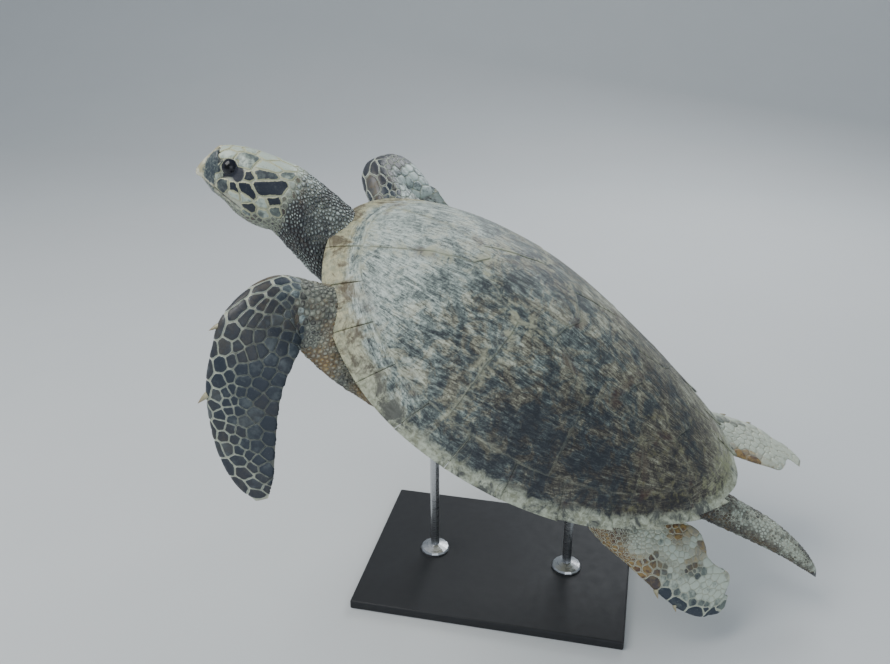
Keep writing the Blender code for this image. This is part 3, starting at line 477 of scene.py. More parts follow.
def shell_finish(name, rim):
    """Weathered horn: bleached in front, clouded slate and brown behind, with olive growth at the rear.

    One value, the sum of a drift along the shell, clouds, streaks and scratches, picks each point's
    colour from a row of grey greens and from a row of browns; a second cloud mixes the two rows. The
    drift is partly painted light and shade, pale in front and dark behind. Painted highlights on the
    crest and the upper right side, and painted shade on the lower left flank, are added to the value."""
    made, tree, shader = finish_material(name, 0.50, Coat_Weight=0.06, Coat_Roughness=0.40)
    place = object_place(tree)
    along, across, edge = (attribute(tree, key) for key in ("along", "across", "edge"))
    grain = attribute(tree, "grain", "Vector")
    long, far, fine = (node(tree, "ShaderNodeMapping", {"Vector": grain, "Scale": scale}).outputs["Vector"]
                       for scale in ((46.0, 11.0, 7.0), (190.0, 30.0, 7.0), (720.0, 60.0, 7.0)))
    streak, hair = noise(far, 1.0, 7.0, 0.74, 0.5), noise(fine, 1.0, 4.0, 0.7, 0.3)
    cloud = noise(place, 9.0, 6.0, 0.62, 0.6)
    patch = noise(place, 30.0, 8.0, 0.72, 0.8)
    mottle = noise(place, 85.0, 8.0, 0.75, 0.4)
    speck = noise(place, 330.0, 4.0, 0.75)
    scratch = maths("ABSOLUTE", maths("SUBTRACT", noise(far, 1.6, 3.0, 0.6, 1.2), 0.5))
    crack = maths("ABSOLUTE", maths("SUBTRACT", noise(long, 1.3, 5.0, 0.6, 1.6), 0.5))
    # Painted light and shade: the drift starts pale at the front, where the light falls, and darkens from the
    # middle back, where the shell turns down away from the light. This is partly the horn's own bleaching and
    # dark rear. It pales again at the crusted rear end.
    drift_and_light = ramp(along, 0.02, 0.40, 0.86, 0.52)
    drift_and_light = plus(drift_and_light, ramp(along, 0.38, 0.64, 0.0, -0.18))
    drift_and_light = plus(drift_and_light, ramp(along, 0.82, 1.0, 0.0, 0.16))
    # Painted shade: darker down the lower left flank, from the middle back.
    lower_flank_shade = times(ramp(across, 0.35, 0.85, 0.0, -0.10), ramp(along, 0.25, 0.50))
    # Painted highlight: paler and browner on the raised right side, from the middle back.
    upper_side_highlight = times(ramp(across, -0.34, -0.06, 1.0, 0.0), ramp(along, 0.40, 0.56))
    # Painted highlight: a little paler along the crest of the back.
    crest_highlight = ramp(maths("ABSOLUTE", across), 0.0, 0.45, 0.05, 0.0)
    value = plus(drift_and_light, plus(lower_flank_shade, crest_highlight))
    value = plus(value, times(upper_side_highlight, 0.24))
    for pattern, low, depth in ((cloud, 0.3, 0.16), (patch, 0.3, 0.17), (mottle, 0.3, 0.15),
                                (streak, 0.3, 0.22), (hair, 0.3, 0.12), (speck, 0.35, 0.07)):
        value = plus(value, ramp(pattern, low, 1 - low, -depth, depth))
    value = plus(value, ramp(scratch, 0.004, 0.020, -0.20, 0.0))
    value = plus(value, ramp(crack, 0.003, 0.012, -0.24, 0.0))
    green = colour_steps(value, (0.04, (0.015, 0.020, 0.028)), (0.30, (0.050, 0.062, 0.068)),
                         (0.50, (0.130, 0.160, 0.152)), (0.70, (0.30, 0.36, 0.33)),
                         (0.95, (0.62, 0.69, 0.64)))
    brown = colour_steps(value, (0.04, (0.018, 0.015, 0.016)), (0.30, (0.058, 0.051, 0.042)),
                         (0.50, (0.150, 0.143, 0.108)), (0.70, (0.33, 0.33, 0.245)),
                         (0.95, (0.60, 0.62, 0.50)))
    grown = ramp(plus(along, swing(cloud, 0.16)), 0.66, 0.86)
    turn = plus(ramp(patch, 0.40, 0.62), times(grown, 0.6))
    turn = plus(turn, ramp(along, 0.10, 0.40, -0.45, 0.0))
    # The painted highlight on the raised right side leans to the browns.
    turn = plus(turn, times(upper_side_highlight, 0.5))
    colour = blend(ramp(turn, 0.15, 0.95), green, brown)
    colour = blend(times(grown, ramp(mottle, 0.50, 0.66, 0.0, 0.7)), colour,
                   (0.165, 0.155, 0.075))
    maroon = times(ramp(edge, 0.002, 0.020, 1.0, 0.0), ramp(cloud, 0.54, 0.64))
    colour = blend(times(maroon, 0.75), colour, (0.052, 0.020, 0.018))
    vein = times(ramp(edge, 0.0, 0.022, 1.0, 0.0), ramp(along, 0.38, 0.58, 1.0, 0.12))
    vein = times(vein, ramp(plus(patch, swing(mottle, 0.1)), 0.45, 0.60))
    vein = times(vein, ramp(across, 0.35, 0.75, 1.0, 0.35))
    colour = blend(times(vein, 0.8), colour, (0.46, 0.47, 0.33))
    worn = plus(edge, swing(mottle, 0.0018))
    shown = times(ramp(along, 0.30, 0.66, 0.80, 0.22), ramp(patch, 0.40, 0.58, 0.40, 1.0))
    seam = times(ramp(worn, 0.0008, 0.0028, 1.0, 0.0), shown)
    if rim:
        seam = times(seam, 0.5)
    colour = blend(seam, colour, (0.40, 0.41, 0.31))
    crusted = ramp(plus(along, swing(mottle, 0.05)), 0.93, 0.985, 0.0, 0.8)
    colour = blend(crusted, colour, (0.30, 0.315, 0.185))
    if rim:
        band = plus(attribute(tree, "band"), swing(patch, 0.16))
        front = ramp(along, 0.08, 0.34, 1.0, 0.0)
        smudge = ramp(plus(patch, times(cloud, 0.6)), 0.78, 0.92)
        pale = blend(front, (0.58, 0.62, 0.49), (0.56, 0.52, 0.31))
        stain = blend(front, (0.085, 0.092, 0.085), (0.115, 0.085, 0.040))
        cream = blend(ramp(mottle, 0.36, 0.62), (0.27, 0.28, 0.19), pale)
        cream = blend(smudge, cream, stain)
        shift = plus(band, ramp(along, 0.10, 0.36, 0.30, 0.0))
        colour = blend(ramp(shift, 0.52, 0.80, 0.0, 0.92), colour, cream)
    crust = times(mottle, ramp(grown, 0.0, 1.0, 0.5, 1.4))
    low = bump(crust, 0.0018, 0.7)
    cut = plus(ramp(scratch, 0.0, 0.02), ramp(crack, 0.0, 0.012))
    low = bump(cut, 0.0003, 0.8, low)
    feed(tree, shader, Base_Color=colour,
         Roughness=ramp(mottle, 0.3, 0.7, 0.42, 0.68),
         Normal=bump(plus(hair, streak), 0.0005, 0.8, low))
    return made


# seam corners as (x / shell length, t): the left side's chain between the back and side plates, the
# middle line's cross seams and the outer ends of the side plates' cross seams
CHAIN = ((0.085, 0.045), (0.030, 0.275), (0.101, 0.41), (0.074, 0.487), (0.137, 0.60),
         (0.076, 0.672), (0.115, 0.755), (0.060, 0.818), (0.118, 0.96))
SPINE = (0.30, 0.52, 0.70, 0.842)
COSTAL_ENDS = ((0.36, 0.385), (0.36, 0.625), (0.32, 0.835))


def in_plan(pairs):
    """Seam corners given as (x / shell length, t), in metres."""
    return [(x * SHELL_LENGTH, (t - 0.5) * SHELL_LENGTH) for x, t in pairs]


def vertebral_corners(number):
    """The midline plate between two spine points, which reaches past the seam ring at either end."""
    ends = (CHAIN[0],) + CHAIN[1:-1:2] + (CHAIN[-1],)
    if number == 0:
        half = [(0.085, -0.1), CHAIN[0], CHAIN[1]]
        return in_plan([(-x, t) for x, t in half] + [(0, SPINE[0])] + half[::-1])
    if number == 4:
        half = [CHAIN[7], CHAIN[8], (0.118, 1.1)]
        return in_plan([(0, SPINE[3])] + half + [(-x, t) for x, t in half[::-1]])
    half = list(CHAIN[2 * number - 1:2 * number + 2])
    return in_plan([(0, SPINE[number - 1])] + half + [(0, SPINE[number])] + [(-x, t) for x, t in half[::-1]])


def costal_corners(number, side):
    """The side plate between two cross seams, from the vertebral chain out past the seam ring."""
    inner = CHAIN[2 * number:2 * number + 3]
    front = [(0.5, -0.1), (0.085, -0.1)] if number == 0 else [
        (0.5, COSTAL_ENDS[number - 1][1] + (0.072 if number == 3 else 0.0)), COSTAL_ENDS[number - 1]]
    rear = [(0.118, 1.1), (0.5, 1.1)] if number == 3 else [
        COSTAL_ENDS[number], (0.5, COSTAL_ENDS[number][1] + (0.072 if number == 2 else 0.0))]
    return in_plan([(side * x, t) for x, t in front + list(inner) + rear])


phi_line = np.linspace(0, 2 * math.pi, 721)
disc_line = outline(phi_line) * seam_ring(phi_line)[:, None]
horn = shell_finish("shell_horn", rim=False)
VERTEBRAL_CENTRES = ((0, 0.16), (0, 0.40), (0, 0.60), (0, 0.765), (0, 0.89))
COSTAL_CENTRES = ((0.19, 0.25), (0.20, 0.50), (0.20, 0.70), (0.112, 0.85))
VERTEBRAL_AREOLAE = ((0, 0.29), (0, 0.505), (0, 0.69), (0, 0.835), (0, 0.95))
COSTAL_AREOLAE = ((0.10, 0.42), (0.125, 0.61), (0.105, 0.765), (0.10, 0.95))
for number in range(5):
    middle, areola = in_plan([VERTEBRAL_CENTRES[number], VERTEBRAL_AREOLAE[number]])
    plate = scute(f"vertebral_plate_{number + 1}", vertebral_corners(number), middle, areola, disc_line, dome,
                  11 + number, finish=horn)
    fit(plate, "scutes", f"vertebral_{number + 1}")
for side_name, side in (("left", 1), ("right", -1)):
    for number in range(4):
        (cx, ct), (ax, at) = COSTAL_CENTRES[number], COSTAL_AREOLAE[number]
        plate = scute(f"costal_plate_{side_name}_{number + 1}", costal_corners(number, side),
                      in_plan([(side * cx, ct)])[0], in_plan([(side * ax, at)])[0], disc_line, dome,
                      21 + number + 4 * (side < 0), finish=horn)
        fit(plate, "scutes", f"costal_{side_name}_{number + 1}")


# ================================================================ rim plates
# The nuchal plate over the neck and twelve marginals down each side. Each folds round the rim, is
# cream with dark smudges, and from the middle back its rear corner stands out as a saw tooth.

RIM_THICK = (0.0060, 0.0036)  # at the seam, at the edge
MEAN_REACH = 0.27  # of the rim from the middle of the shell


def rim_tooth(phi):
    """Outward step of the rear rim plates: it grows along each plate and drops at its rear corner."""
    station = np.abs((phi + math.pi) % (2 * math.pi) - math.pi) / math.pi * STATIONS / 2
    share = ((station - NUCHAL_STATIONS) / 2) % 1.0
    rear = climb(station, 13, 6) * fall(station, 26.4, 1.4)
    return 1 + 0.019 * share**1.8 * rear - 0.004 * (1 - share) * rear


def rim_plate(first, last, seed, along=30, across=26):
    """One rim plate between two angles: a closed loop, top and underside, carried along the rim.

    Returns its points, quads and the numbers its material reads."""
    inset = SEAM_GAP / MEAN_REACH
    front, back = (first, last) if abs(first) < abs(last) else (last, first)
    sign = 1 if back > front else -1
    share = (1 - np.cos(np.linspace(0, math.pi, along))) / 2
    phi = front + sign * inset + (back - front - 2 * sign * inset) * share
    inner = seam_ring(phi) - 0.006
    outwards = np.sin(np.linspace(0, math.pi / 2, across)) ** 0.85
    ring = inner[None] + (1 - inner[None]) * outwards[:, None]
    step = 1 + (rim_tooth(phi[None] - sign * 0.002) - 1) * climb(ring, 0.90, 0.10) ** 1.5
    flat = outline(phi)[None] * (ring * step)[..., None]
    x, y = flat[..., 0], flat[..., 1]
    thick = RIM_THICK[0] + (RIM_THICK[1] - RIM_THICK[0]) * outwards[:, None]
    bend = 1 - np.sqrt(1 - climb(ring, 0.986, 0.014) ** 2)
    length = abs(back - front) * MEAN_REACH
    to_end = np.minimum(share, 1 - share)[None] * length + 0 * ring
    to_seam = (ring - inner[None]) * MEAN_REACH
    inside = np.minimum(to_end, to_seam)
    lift = (-0.0005 + 0.0017 * share[None]) * capped((1 - ring) / 0.02 + 0.3)
    rays = 0.0006 * (rough_noise(share[None] * 9 + 0 * ring, ring * 30, seed) - 0.5)
    level = dome(x, y)
    top = level + lift + rays - 0.0011 * np.exp(-inside / 0.0011) - thick * bend / 2
    under = level - thick + thick * bend / 2 + lift * 0.6 + 0.0006 * np.exp(-to_end / 0.0015)
    points = np.concatenate([np.dstack([flat, top]), np.dstack([flat, under])[::-1]])
    rows, columns = 2 * across, along
    quads = grid_faces(rows, columns)
    k, last = np.arange(columns - 1), rows * columns - columns
    seam_wall = np.stack([k, last + k, last + 1 + k, 1 + k], -1)
    i = np.arange(across - 1)
    mirror = rows - 1 - i
    start_cap = np.stack([i, i + 1, mirror - 1, mirror], -1) * columns
    end_cap = np.stack([i, mirror, mirror - 1, i + 1], -1) * columns + columns - 1
    quads = np.vstack([quads, seam_wall[:, ::-1], start_cap[:, ::-1], end_cap[:, ::-1]])
    if sign > 0:
        quads = quads[:, ::-1]
    both = np.concatenate([inside, inside[::-1]]).ravel()
    t = np.concatenate([y, y[::-1]]).ravel() / SHELL_LENGTH + 0.5
    side = np.concatenate([x, x[::-1]]).ravel()
    grain = np.stack([ring * 0.25, y, np.full(ring.shape, float(seed))], -1)
    grain = np.concatenate([grain, grain[::-1]]).reshape(-1, 3)
    band = climb(ring, inner[None], 1 - inner[None])
    band = np.concatenate([band, 1 + 0 * band]).ravel()
    return points.reshape(-1, 3), quads, (both, t, side, grain, band)


def rim_row(name, spans, seed, finish):
    """Rim plates of several spans joined as one piece."""
    parts = [rim_plate(first, last, seed + n) for n, (first, last) in enumerate(spans)]
    counts = np.cumsum([0] + [len(p[0]) for p in parts])
    points = np.concatenate([p[0] for p in parts])
    quads = np.concatenate([p[1] + c for p, c in zip(parts, counts)])
    both, t, side, grain, band = (np.concatenate([p[2][k] for p in parts]) for k in range(5))
    made = mesh_piece(name, posed(points), quads, finish=finish)
    made.data.set_sharp_from_angle(angle=math.radians(50))
    give(made, edge=both, along=t, across=across_share(side, t), grain=grain, band=band)
    return made


rim_horn = shell_finish("rim_horn", rim=True)
station_angle = 2 * math.pi / STATIONS
for side_name, side in (("left", 1), ("right", -1)):
    spans = [(side * (2 + 2 * n) * station_angle, side * (4 + 2 * n) * station_angle) for n in range(12)]
    row = rim_row(f"rim_plates_{side_name}", spans, 40 + 20 * (side < 0), rim_horn)
    fit(row, "marginals", f"marginals_{side_name}")
nuchal = rim_row("nuchal_plate", [(0.0, 2 * station_angle), (0.0, -2 * station_angle)], 70, rim_horn)
fit(nuchal, "marginals", "nuchal")


# ================================================================ belly plates
# The plastron: twelve thin cream scutes in six pairs and a small one in front, over the flat belly.

PLASTRON_DEPTH, PLASTRON_THICK = 0.102, 0.008


def belly(x, y):
    """Height of the flesh under the body: flat in the middle, drawn up to all its edges."""
    along = np.abs(y + 0.01) / 0.33
    across = np.abs(x) / 0.24
    return -PLASTRON_DEPTH + 0.030 * along**3 + 0.045 * across**3


def plastron_reach(phi):
    """Edge of the plastron as a ring factor: narrow at both ends, wide at the bridges."""
    return 0.62 + 0.08 * np.abs(np.sin(phi)) ** 2.5 + 0.05 * capped(np.cos(phi))


plastron_line = outline(phi_line) * (plastron_reach(phi_line) * 0.995)[:, None]


def plate_level(x, y):
    """Outer face of the belly plates: the belly less a thickness that thins to the edge."""
    angle = np.arctan2(x, -y)
    edge = np.hypot(*(outline(angle) * plastron_reach(angle)[..., None]).T).T
    share = capped(np.hypot(x, y) / edge)
    return belly(x, y) - SEAM_GAP - PLASTRON_THICK * (1 - 0.45 * share**4) + 0.0006


def plastron_finish():
    """Smooth cream horn with faint growth lines, a little grime along the seams and few dark smudges."""
    made, tree, shader = finish_material("belly_horn", 0.42)
    place = object_place(tree)
    edge = attribute(tree, "edge")
    mottle = noise(place, 40.0, 5.0, 0.6)
    lines = node(tree, "ShaderNodeMath", {0: times(edge, 900.0)}, operation="SINE").outputs[0]
    cream = blend(ramp(mottle, 0.35, 0.65), (0.46, 0.42, 0.27), (0.70, 0.66, 0.48))
    smudge = ramp(noise(place, 13.0, 5.0), 0.60, 0.70, 0.0, 0.7)
    cream = blend(smudge, cream, (0.13, 0.11, 0.08))
    cream = blend(ramp(edge, 0.0, 0.004, 0.7, 0.0), cream, (0.26, 0.22, 0.14))
    height = plus(times(lines, 0.15), mottle)
    feed(tree, shader, Base_Color=cream, Normal=bump(height, 0.0004, 0.6))
    return made


PLASTRON_SEAMS = (-0.236, -0.190, -0.125, -0.045, 0.040, 0.125)
ANGLE_IN = 0.014
belly_horn = plastron_finish()
levels = (-0.40,) + PLASTRON_SEAMS + (0.40,)
for number in range(1, len(levels) - 1):
    first, last = levels[number], levels[number + 1]
    for side_name, side in (("left", 1), ("right", -1)):
        front_in = ANGLE_IN if number > 1 else 0.0
        rear_in = ANGLE_IN if number < 6 else 0
        corners = [(0, first + front_in), (0, last + rear_in), (side * 0.3, last), (side * 0.3, first)]
        middle = (side * 0.042, (first + min(last, 0.225)) / 2 + 0.006)
        plate = scute(f"belly_plate_{side_name}_{number}", corners, middle, (0, last), plastron_line,
                      plate_level, 90 + number, around=110, rings=20, upward=-1, relief=0.4,
                      finish=belly_horn)
        fit(plate, "plastron", *(["plastron"] if number == 1 and side == 1 else []))
rear = levels[1] - SEAM_GAP
throat = scute("belly_plate_throat", [(-0.3, rear), (0.3, rear), (0.3, -0.4), (-0.3, -0.4)], (0, -0.246),
               (0, levels[1]), plastron_line, plate_level, 99, around=90, rings=14, upward=-1, relief=0.4,
               finish=belly_horn)
fit(throat, "plastron")


# ================================================================ skin
# One skin over trunk, head, neck, limbs and tail. Each length is a smooth loft; they are welded into
# one body and the joins are rubbed smooth. It lies under the scales by their thickness.

COAT_DEPTH = 0.0011


def unit(v):
    return v / np.maximum(np.linalg.norm(v, axis=-1, keepdims=True), 1e-12)


def spline(rows, s):
    """Catmull-Rom curve through the rows, read at parameter s from 0 to 1."""
    rows = np.asarray(rows, float)
    padded = np.concatenate([[2 * rows[0] - rows[1]], rows, [2 * rows[-1] - rows[-2]]])
    u = capped(np.atleast_1d(s)) * (len(rows) - 1)
    i = np.minimum(u.astype(int), len(rows) - 2)
    f = (u - i).reshape((-1,) + (1,) * (rows.ndim - 1))
    a, b, c, d = (padded[i + k] for k in range(4))
    return 0.5 * (2 * b + (c - a) * f + (2 * a - 5 * b + 4 * c - d) * f**2 + (3 * b - a - 3 * c + d) * f**3)


# each limb's stations from its root to its tip: middle (x, y, z), chord from the rear edge to the
# front one (x, y, z), thickness. Right limbs are given on the left side and mirrored.
FRONT_LEFT = (
    (0.119, -0.197, -0.036, -0.172, -0.114, 0.039, 0.076),
    (0.165, -0.285, -0.010, -0.114, -0.098, 0.048, 0.066),
    (0.201, -0.357, 0.012, -0.036, -0.090, 0.051, 0.054),
    (0.246, -0.366, 0.009, 0.064, -0.106, 0.012, 0.036),
    (0.280, -0.357, -0.016, 0.058, -0.100, -0.036, 0.024),
    (0.304, -0.345, -0.050, 0.046, -0.091, -0.044, 0.019),
    (0.323, -0.324, -0.087, 0.040, -0.080, -0.043, 0.015),
    (0.342, -0.293, -0.127, 0.035, -0.068, -0.035, 0.011),
    (0.360, -0.260, -0.154, 0.025, -0.048, -0.024, 0.008),
    (0.370, -0.233, -0.175, 0.008, -0.016, -0.008, 0.004),
)
FRONT_RIGHT = (
    (0.119, -0.197, -0.038, -0.172, -0.114, 0.036, 0.076),
    (0.162, -0.301, -0.015, -0.105, -0.121, 0.042, 0.066),
    (0.198, -0.358, -0.012, -0.019, -0.105, 0.040, 0.054),
    (0.266, -0.340, -0.018, 0.070, -0.095, -0.028, 0.036),
    (0.292, -0.336, -0.048, 0.059, -0.085, -0.075, 0.024),
    (0.307, -0.323, -0.064, 0.043, -0.070, -0.078, 0.019),
    (0.324, -0.294, -0.088, 0.038, -0.060, -0.074, 0.015),
    (0.343, -0.249, -0.111, 0.033, -0.050, -0.060, 0.011),
    (0.360, -0.210, -0.125, 0.024, -0.036, -0.042, 0.008),
    (0.371, -0.178, -0.133, 0.007, -0.012, -0.014, 0.004),
)
HIND_LEFT = (
    (0.100, 0.190, -0.034, 0.080, -0.090, -0.018, 0.080),
    (0.124, 0.259, -0.041, 0.100, -0.075, -0.027, 0.061),
    (0.128, 0.318, -0.047, 0.104, -0.051, -0.037, 0.035),
    (0.127, 0.366, -0.051, 0.113, -0.036, -0.047, 0.021),
    (0.137, 0.403, -0.062, 0.091, -0.022, -0.041, 0.014),
    (0.134, 0.432, -0.066, 0.083, -0.017, -0.039, 0.011),
    (0.126, 0.456, -0.067, 0.074, -0.015, -0.035, 0.008),
    (0.133, 0.466, -0.073, 0.039, -0.008, -0.019, 0.006),
    (0.126, 0.476, -0.071, 0.023, -0.004, -0.012, 0.004),
)
HIND_RIGHT = (
    (0.095, 0.190, -0.058, 0.070, -0.088, -0.020, 0.080),
    (0.126, 0.262, -0.044, 0.090, -0.072, -0.018, 0.060),
    (0.143, 0.332, -0.024, 0.089, -0.043, -0.018, 0.030),
    (0.153, 0.380, -0.012, 0.097, -0.031, -0.020, 0.019),
    (0.159, 0.425, 0.000, 0.103, -0.026, -0.020, 0.013),
    (0.161, 0.454, 0.007, 0.094, -0.022, -0.018, 0.010),
    (0.162, 0.473, 0.011, 0.082, -0.018, -0.017, 0.008),
    (0.177, 0.492, 0.013, 0.038, -0.008, -0.008, 0.006),
    (0.165, 0.518, 0.020, 0.023, -0.005, -0.005, 0.004),
)
# the tail's middle (x, y, z) and radius
TAIL_ROUTE = ((0.0, 0.280, -0.036, 0.046), (0.0, 0.350, -0.030, 0.035), (0.0, 0.420, -0.022, 0.028),
              (0.0, 0.485, -0.012, 0.0245), (0.0, 0.540, -0.012, 0.018), (0.0, 0.580, -0.019, 0.0115),
              (0.0, 0.600, -0.025, 0.006))
# head sections: distance behind the beak tip, top, bottom, half width, backward lean of the top
HEAD_SECTIONS = (
    (0.0035, 0.006, -0.0035, 0.0035, 0.0),
    (0.008, 0.0145, -0.0045, 0.0075, 0.0),
    (0.015, 0.0245, -0.0070, 0.0125, 0.0),
    (0.024, 0.0355, -0.0165, 0.0180, 0.0),
    (0.034, 0.0475, -0.0255, 0.0245, 0.0),
    (0.045, 0.0520, -0.0305, 0.0315, 0.0),
    (0.058, 0.0540, -0.0375, 0.0375, 0.0),
    (0.074, 0.0548, -0.0490, 0.0430, 0.05),
    (0.092, 0.0532, -0.0565, 0.0475, 0.15),
    (0.112, 0.0495, -0.0620, 0.0500, 0.28),
    (0.132, 0.0450, -0.0650, 0.0500, 0.40),
    (0.150, 0.0400, -0.0670, 0.0495, 0.50),
)
EYE_PLACE = np.array([0.0245, 0.0630, 0.0275])
EYE_AXIS = np.array([0.945, -0.110, 0.305])
EYE_RADIUS = 0.0145
# the mouth, in the head frame: where its line starts, how it falls and where it ends
MOUTH_START, MOUTH_SLOPE, MOUTH_CORNER = 0.0075, -0.36, 0.088
NECK_RINGS = 6
head_count = len(HEAD_SECTIONS)
LAST_ROW = head_count + NECK_RINGS - 1


def head_matrix():
    """Matrix of the head in the body frame: x to its left, y to its back, origin at the beak tip."""
    yaw, pitch = math.radians(6.5), math.radians(11)
    heading = Vector((math.sin(yaw) * math.cos(pitch), -math.cos(yaw) * math.cos(pitch), math.sin(pitch)))
    left = Vector((0, 0, 1)).cross(heading).normalized()
    level = Matrix((left, -heading, heading.cross(left))).transposed()
    turned = POSE.to_3x3().transposed() @ level
    return np.array(Matrix.Translation((0.040, -0.609, -0.017)) @ turned.to_4x4())


HEAD = head_matrix()


def from_head(points):
    return points @ HEAD[:3, :3].T + HEAD[:3, 3]


def to_head(points):
    return (points - HEAD[:3, 3]) @ HEAD[:3, :3]


def station_rows(stations, count, ease):
    """Centre, chord, thickness and direction of a limb at count even steps.

    With ease the direction comes from the centres averaged with their neighbours."""
    steps = np.linspace(0, 1, count)
    rows = spline(stations, steps)
    route = np.array(stations)[:, :3]
    if ease:
        route[1:-1] = (route[:-2] + 2 * route[1:-1] + route[2:]) / 4
    along = unit(np.gradient(spline(route, steps), axis=0))
    chord = rows[:, 3:6]
    return rows[:, :3], chord - along * (chord * along).sum(1, keepdims=True) * 0.7, rows[:, 6:], along


def paddle(stations, mirror, ease=False):
    """Surface of a limb: at s along it and angle a round it, the point is
    centre + chord * signed cos(a)^0.9 / 2 + normal * thickness * sin(a) (1 + 0.35 cos a) / 2."""
    centre, chord, thick, along = station_rows(stations, 481, ease)
    table = np.hstack([centre, chord, unit(np.cross(chord, along)) * thick])

    def surface(s, a):
        place = capped(s) * 480
        i = np.minimum(place.astype(int), 479)
        f = (place - i)[..., None]
        row = table[i] * (1 - f) + table[i + 1] * f
        across = (np.sign(np.cos(a)) * np.abs(np.cos(a)) ** 0.9 / 2)[..., None]
        up = (np.sin(a) * (1 + 0.35 * np.cos(a)) / 2)[..., None]
        return (row[..., :3] + row[..., 3:6] * across + row[..., 6:] * up) * np.array([mirror, 1, 1])
    return surface


def tail_surface(s, a):
    """Round tube whose centre and radius follow TAIL_ROUTE, with slow creases across it.

    Its root narrows and rises, so that it comes out of the trunk without an edge."""
    shape = np.shape(s)
    rows, ahead, behind = (spline(TAIL_ROUTE, np.ravel(s) + step).reshape(*shape, 4)
                           for step in (0, 0.01, -0.01))
    root = capped(1 - np.asarray(s)[..., None] / 0.16) ** 1.5
    rows = rows * (1 - root * np.array([0, 0, 0.45, 0.62]))
    along = unit(ahead[..., :3] - behind[..., :3])
    side = np.array([1.0, 0, 0])
    up = np.cross(np.broadcast_to(side, along.shape), along)
    radius = rows[..., 3:] * (1 - 0.02 * np.cos(2 * math.pi * np.asarray(s)[..., None] * 26))
    return rows[..., :3] + radius * (np.cos(a)[..., None] * side + np.sin(a)[..., None] * up)


def head_rings(a):
    """Head sections and neck rings in the body frame, one row of points for each."""
    rings = []
    for back, top, bottom, half, lean in HEAD_SECTIONS:
        middle, rise = (top + bottom) / 2, (top - bottom) / 2
        z = middle + rise * np.sin(a)
        x = half * np.sign(np.cos(a)) * np.abs(np.cos(a)) ** 0.9
        rings.append(from_head(np.column_stack([x, back + lean * (z - middle) * 0.55, z])))
    first = rings[-1]
    back, top, bottom = HEAD_SECTIONS[-1][:3]
    centre = from_head(np.array([0.0, back, (top + bottom) / 2]))
    last_centre, middle = np.array([0.0, -0.27, -0.040]), np.array([0.004, -0.392, -0.004])
    last = 0.062 * np.column_stack([np.cos(a), 0 * a, np.sin(a)]) + last_centre
    for s in np.linspace(0.16, 1, NECK_RINGS):
        shape = (first - centre) * (1 - s) + (last - last_centre) * s
        path = centre * (1 - s) ** 2 + 2 * middle * s * (1 - s) + last_centre * s**2
        rings.append(shape * (1 + 0.08 * math.sin(math.pi * s)) + path)
    return np.array(rings)


RING_ANGLES = np.linspace(0, 2 * math.pi, 361)
ring_table = head_rings(RING_ANGLES)


def almond(local, mirror):
    """How far out of one eye's almond opening each head-frame point lies, as a share that is 1 at its
    edge; and its way and distance from the eye's centre, with the side of the rear lid positive."""
    axis = unit(EYE_AXIS * [mirror, 1, 1])
    slit = np.array([0.0, 0.50, 0.87])
    slit = unit(slit - axis * (slit @ axis))
    rear = np.cross(axis, slit) * mirror
    away = local - EYE_PLACE * [mirror, 1, 1]
    far = np.linalg.norm(away, axis=-1)
    way = unit(away)
    angle = np.arccos(np.clip(way @ axis, -1, 1))
    per_sine = angle / np.maximum(np.sin(angle), 1e-6)
    u = way @ slit * per_sine / 1.02
    v = way @ rear * per_sine
    v = v / np.where(v > 0, 1.02, 0.84)
    share = np.where(far < 0.06, np.hypot(u, v * (1 + 0.25 * u**2)), 9.0)
    return share, way, far, way @ rear


def behind_eye(local):
    """1 on the bare dark skin of the rear lid and behind it, fading to 0 over its border."""
    out = ((local[..., 1] - 0.0785) / 0.0105) ** 2 + ((local[..., 2] - 0.0238) / 0.0118) ** 2
    return fall(out, 1.15, 0.3)


def brow_and_lids(local):
    """Head points reshaped round the eyes, in the head frame: a socket, two thick lids and a brow.

    Around each eye the point's distance from the eye's centre is reset by how far out it lies,
    as a share of the almond opening: inside it falls behind the eyeball, at the edge it stands
    proud of it as a lid, then dips to a crease and returns to the head."""
    out = local.copy()
    for mirror in (1, -1):
        share, way, far, rear = almond(local, mirror)
        lid = EYE_RADIUS + np.interp(share, (0.0, 0.88, 0.97, 1.06, 1.22, 1.36, 1.52, 1.9),
                                     (-0.004, -0.003, 0.0002, 0.0014, 0.0021, 0.0016, 0.0022, 0.0030))
        deep = climb(far - EYE_RADIUS, 0.005, 0.008) * climb(share, 1.12, 0.3)
        keep = np.maximum(climb(share, 1.30, 0.62), deep)
        keep = keep * keep * (3 - 2 * keep)
        reset = EYE_PLACE * [mirror, 1, 1] + way * (lid * (1 - keep) + far * keep)[..., None]
        out = np.where((share < 1.92)[..., None], reset, out)
    return out


def over_mouth(local):
    """Height of head-frame points over the mouth's line."""
    return local[..., 2] - MOUTH_SLOPE * (local[..., 1] - MOUTH_START)


NOSTRIL = np.array([[0.0070, 0.0375], [0.0255, 0.0455]])


def in_nostril(local):
    """1 along the slit of each nostril, which runs down and back from the ridge, and 0 beyond it."""
    plan = np.stack([np.abs(local[..., 0]), local[..., 1]], -1)
    first, last = NOSTRIL
    along = capped((plan - first) @ (last - first) / ((last - first) @ (last - first)))
    off = np.linalg.norm(plan - first - along[..., None] * (last - first), axis=-1)
    return np.exp(-((off / 0.0020) ** 2)) * (local[..., 2] > 0.02)


